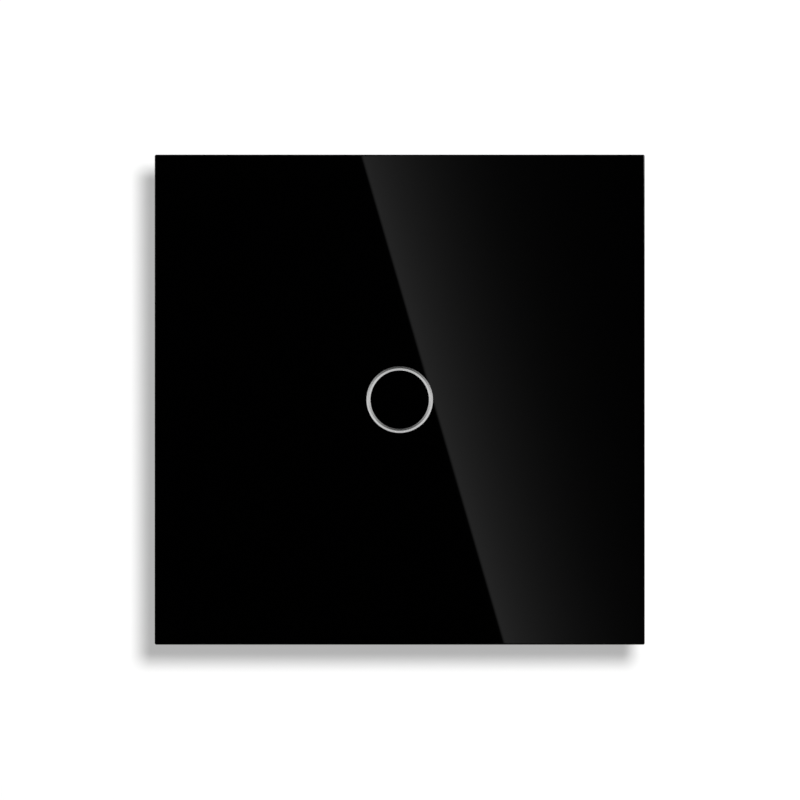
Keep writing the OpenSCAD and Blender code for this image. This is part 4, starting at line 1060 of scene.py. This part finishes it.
def receivers(name, target, state):
    """Collection that makes a lamp light only the target, or all but the target."""
    group = bpy.data.collections.new(name)
    group.objects.link(target)
    group.collection_objects[0].light_linking.link_state = state
    return group


class SWITCH_OT_stage(bpy.types.Operator):
    """Backdrop, lamps, world and camera"""

    bl_idname = "switch.stage"
    bl_label = "Stage"

    def execute(self, context):
        stage = context.scene.switch_stage
        low, high = CAD_BOX
        face = Vector(((low.x + high.x) / 2, low.y, (low.z + high.z) / 2))
        wall = self.backdrop(stage, high.y + stage.wall_gap)
        self.mirror_card(stage, face)
        self.lamps(stage, face, wall)
        self.world(context.scene)
        self.camera(context.scene, stage, face)
        context.scene.view_settings.view_transform = "Standard"
        return {"FINISHED"}

    def backdrop(self, stage, y, grey=0.04):
        """Dark but strongly lit, so that hardly any light from the object shows on it."""
        wall, tree = upright_card("backdrop", stage.wall_width, y, (
            "diffuse", "glossy", "transmission", "shadow", "volume_scatter"))
        lit = tree.node("ShaderNodeBsdfDiffuse", {}, {"Color": (grey, grey, grey, 1.0)})
        shade = tree.node("ShaderNodeEmission", {}, {"Strength": stage.wall_shade})
        front = tree.node("ShaderNodeAddShader", {}, {0: lit, 1: shade})
        behind = tree.node("ShaderNodeNewGeometry", {}, {}, "Backfacing")
        clear = tree.node("ShaderNodeBsdfTransparent")
        surface = tree.node("ShaderNodeMixShader", {}, {0: behind, 1: front, 2: clear})
        tree.node("ShaderNodeOutputMaterial", {}, {"Surface": surface})
        return wall

    def mirror_card(self, stage, face, gap=0.06, width=0.7):
        """Card behind the camera whose sharp slanted edge the glass mirrors."""
        near = -stage.camera_place[1]
        behind = near + gap
        _, tree = upright_card("mirror_card", width, face.y - behind, (
            "camera", "diffuse", "transmission", "shadow", "volume_scatter"))
        on_glass = near / (near + behind)
        x, _, z = tree.split(tree.scaled_place(on_glass / MM))
        past = x + stage.sheen_lean * z - stage.sheen_edge / MM
        edge = tree.fading_edge(past, (-0.25, 0.3), stage.sheen_fade / MM)
        light = tree.node("ShaderNodeEmission", {}, {"Strength": edge * stage.sheen})
        tree.node("ShaderNodeOutputMaterial", {}, {"Surface": light})

    def lamps(self, stage, face, wall, key_size=0.3, fill_size=0.6):
        """One lamp casts the shadow on the backdrop, and the others light all but the backdrop."""
        caster = area_lamp("shadow_lamp", face + Vector(stage.shadow_place), stage.shadow_size,
                           stage.shadow_power, "DISK")
        caster.light_linking.receiver_collection = receivers("backdrop_only", wall, "INCLUDE")
        key = area_lamp("key_lamp", face + Vector(stage.key_place), key_size, stage.key_power)
        fills = [area_lamp(name, face + Vector(spot), fill_size, power) for name, spot, power in (
            ("right_lamp", stage.right_place, stage.side_power),
            ("left_lamp", stage.left_place, stage.side_power),
            ("rear_lamp", stage.rear_place, stage.rear_power))]
        rest = receivers("all_but_backdrop", wall, "EXCLUDE")
        for lamp in (key, *fills):
            lamp.light_linking.receiver_collection = rest
        for lamp in (caster, key):
            lamp.visible_glossy = False

    def world(self, scene):
        """White to the camera, and in mirrors a bright rear and a dimmer front with two slanted bands."""
        made = bpy.data.worlds.new("studio")
        tree = shader_tree(made)
        made.cycles.sampling_method = "NONE"
        x, y, z = tree.split(tree.node("ShaderNodeTexCoord", {}, {}, "Generated"))
        path = tree.node("ShaderNodeLightPath")
        # Black straight ahead, sideways, up and down
        dark = abs(x).most(abs(z)).most(-y).step(0.88, 0.95)
        # Distance past a slanted plane on each side
        past = 0.26 * z - 0.591 * abs(x) - 0.763 * y
        band = tree.fading_edge(past, (0.0, 0.003), 0.03)
        sky = 0.715 * z.step(-0.85, 0.1) + 0.1 * z.step(0.1, 0.45) - 0.2 * z.step(0.5, 0.78)
        front = 0.03 + sky + 0.7 * band
        rear = 0.5 + 0.35 * z.step(-0.6, 0.8)
        glossy = (front + y.step(-0.25, 0.1) * (rear - front)) * (1.0 - dark)
        soft = 0.03 + 0.36 * y.step(-0.1, 0.7) + 0.05 * z.step(-0.2, 0.8)
        seen = path["Is Camera Ray"].most(path["Is Transmission Ray"])
        shiny = path["Is Glossy Ray"] * (1.0 - seen)
        strength = seen + shiny * glossy + (1.0 - seen) * (1.0 - shiny) * soft
        light = tree.node("ShaderNodeBackground", {}, {"Color": (1.0, 1.0, 1.0, 1.0), "Strength": strength})
        tree.node("ShaderNodeOutputWorld", {}, {"Surface": light})
        scene.world = made

    def camera(self, scene, stage, face):
        data = bpy.data.cameras.new("camera")
        data.sensor_width = 36.0
        data.lens = data.sensor_width * -stage.camera_place[1] / stage.field
        data.clip_end = 10.0
        camera = bpy.data.objects.new("camera", data)
        camera.location = face + Vector(stage.camera_place)
        camera.rotation_euler = (math.pi / 2, 0.0, 0.0)
        scene.collection.objects.link(camera)
        scene.camera = camera


MAKERS = (
    SWITCH_OT_glass, SWITCH_OT_ring, SWITCH_OT_panel_back, SWITCH_OT_plate, SWITCH_OT_shell,
    SWITCH_OT_touch_parts, SWITCH_OT_relay, SWITCH_OT_power_parts, SWITCH_OT_windings,
    SWITCH_OT_terminals, SWITCH_OT_terminal_screws, SWITCH_OT_body_screws, SWITCH_OT_stage,
)


class SWITCH_PT_makers(bpy.types.Panel):
    """Buttons for the pieces and the stage"""

    bl_label = "Touch light switch"
    bl_idname = "SWITCH_PT_makers"
    bl_space_type = "VIEW_3D"
    bl_region_type = "UI"
    bl_category = "Switch"

    def draw(self, context):
        for maker in MAKERS:
            self.layout.operator(maker.bl_idname)


SETTINGS = (
    ("switch_colours", SwitchColours), ("switch_sizes", SwitchSizes), ("switch_stage", SwitchStage))


def register():
    for name, kind in SETTINGS:
        bpy.utils.register_class(kind)
        setattr(bpy.types.Scene, name, bpy.props.PointerProperty(type=kind))
    for kind in (*MAKERS, SWITCH_PT_makers):
        bpy.utils.register_class(kind)


def unregister():
    for kind in (SWITCH_PT_makers, *reversed(MAKERS)):
        bpy.utils.unregister_class(kind)
    for name, kind in reversed(SETTINGS):
        delattr(bpy.types.Scene, name)
        bpy.utils.unregister_class(kind)


def main():
    register()
    for maker in MAKERS:
        name = maker.bl_idname.removeprefix("switch.")
        getattr(bpy.ops.switch, name)()


if __name__ == "__main__":
    main()
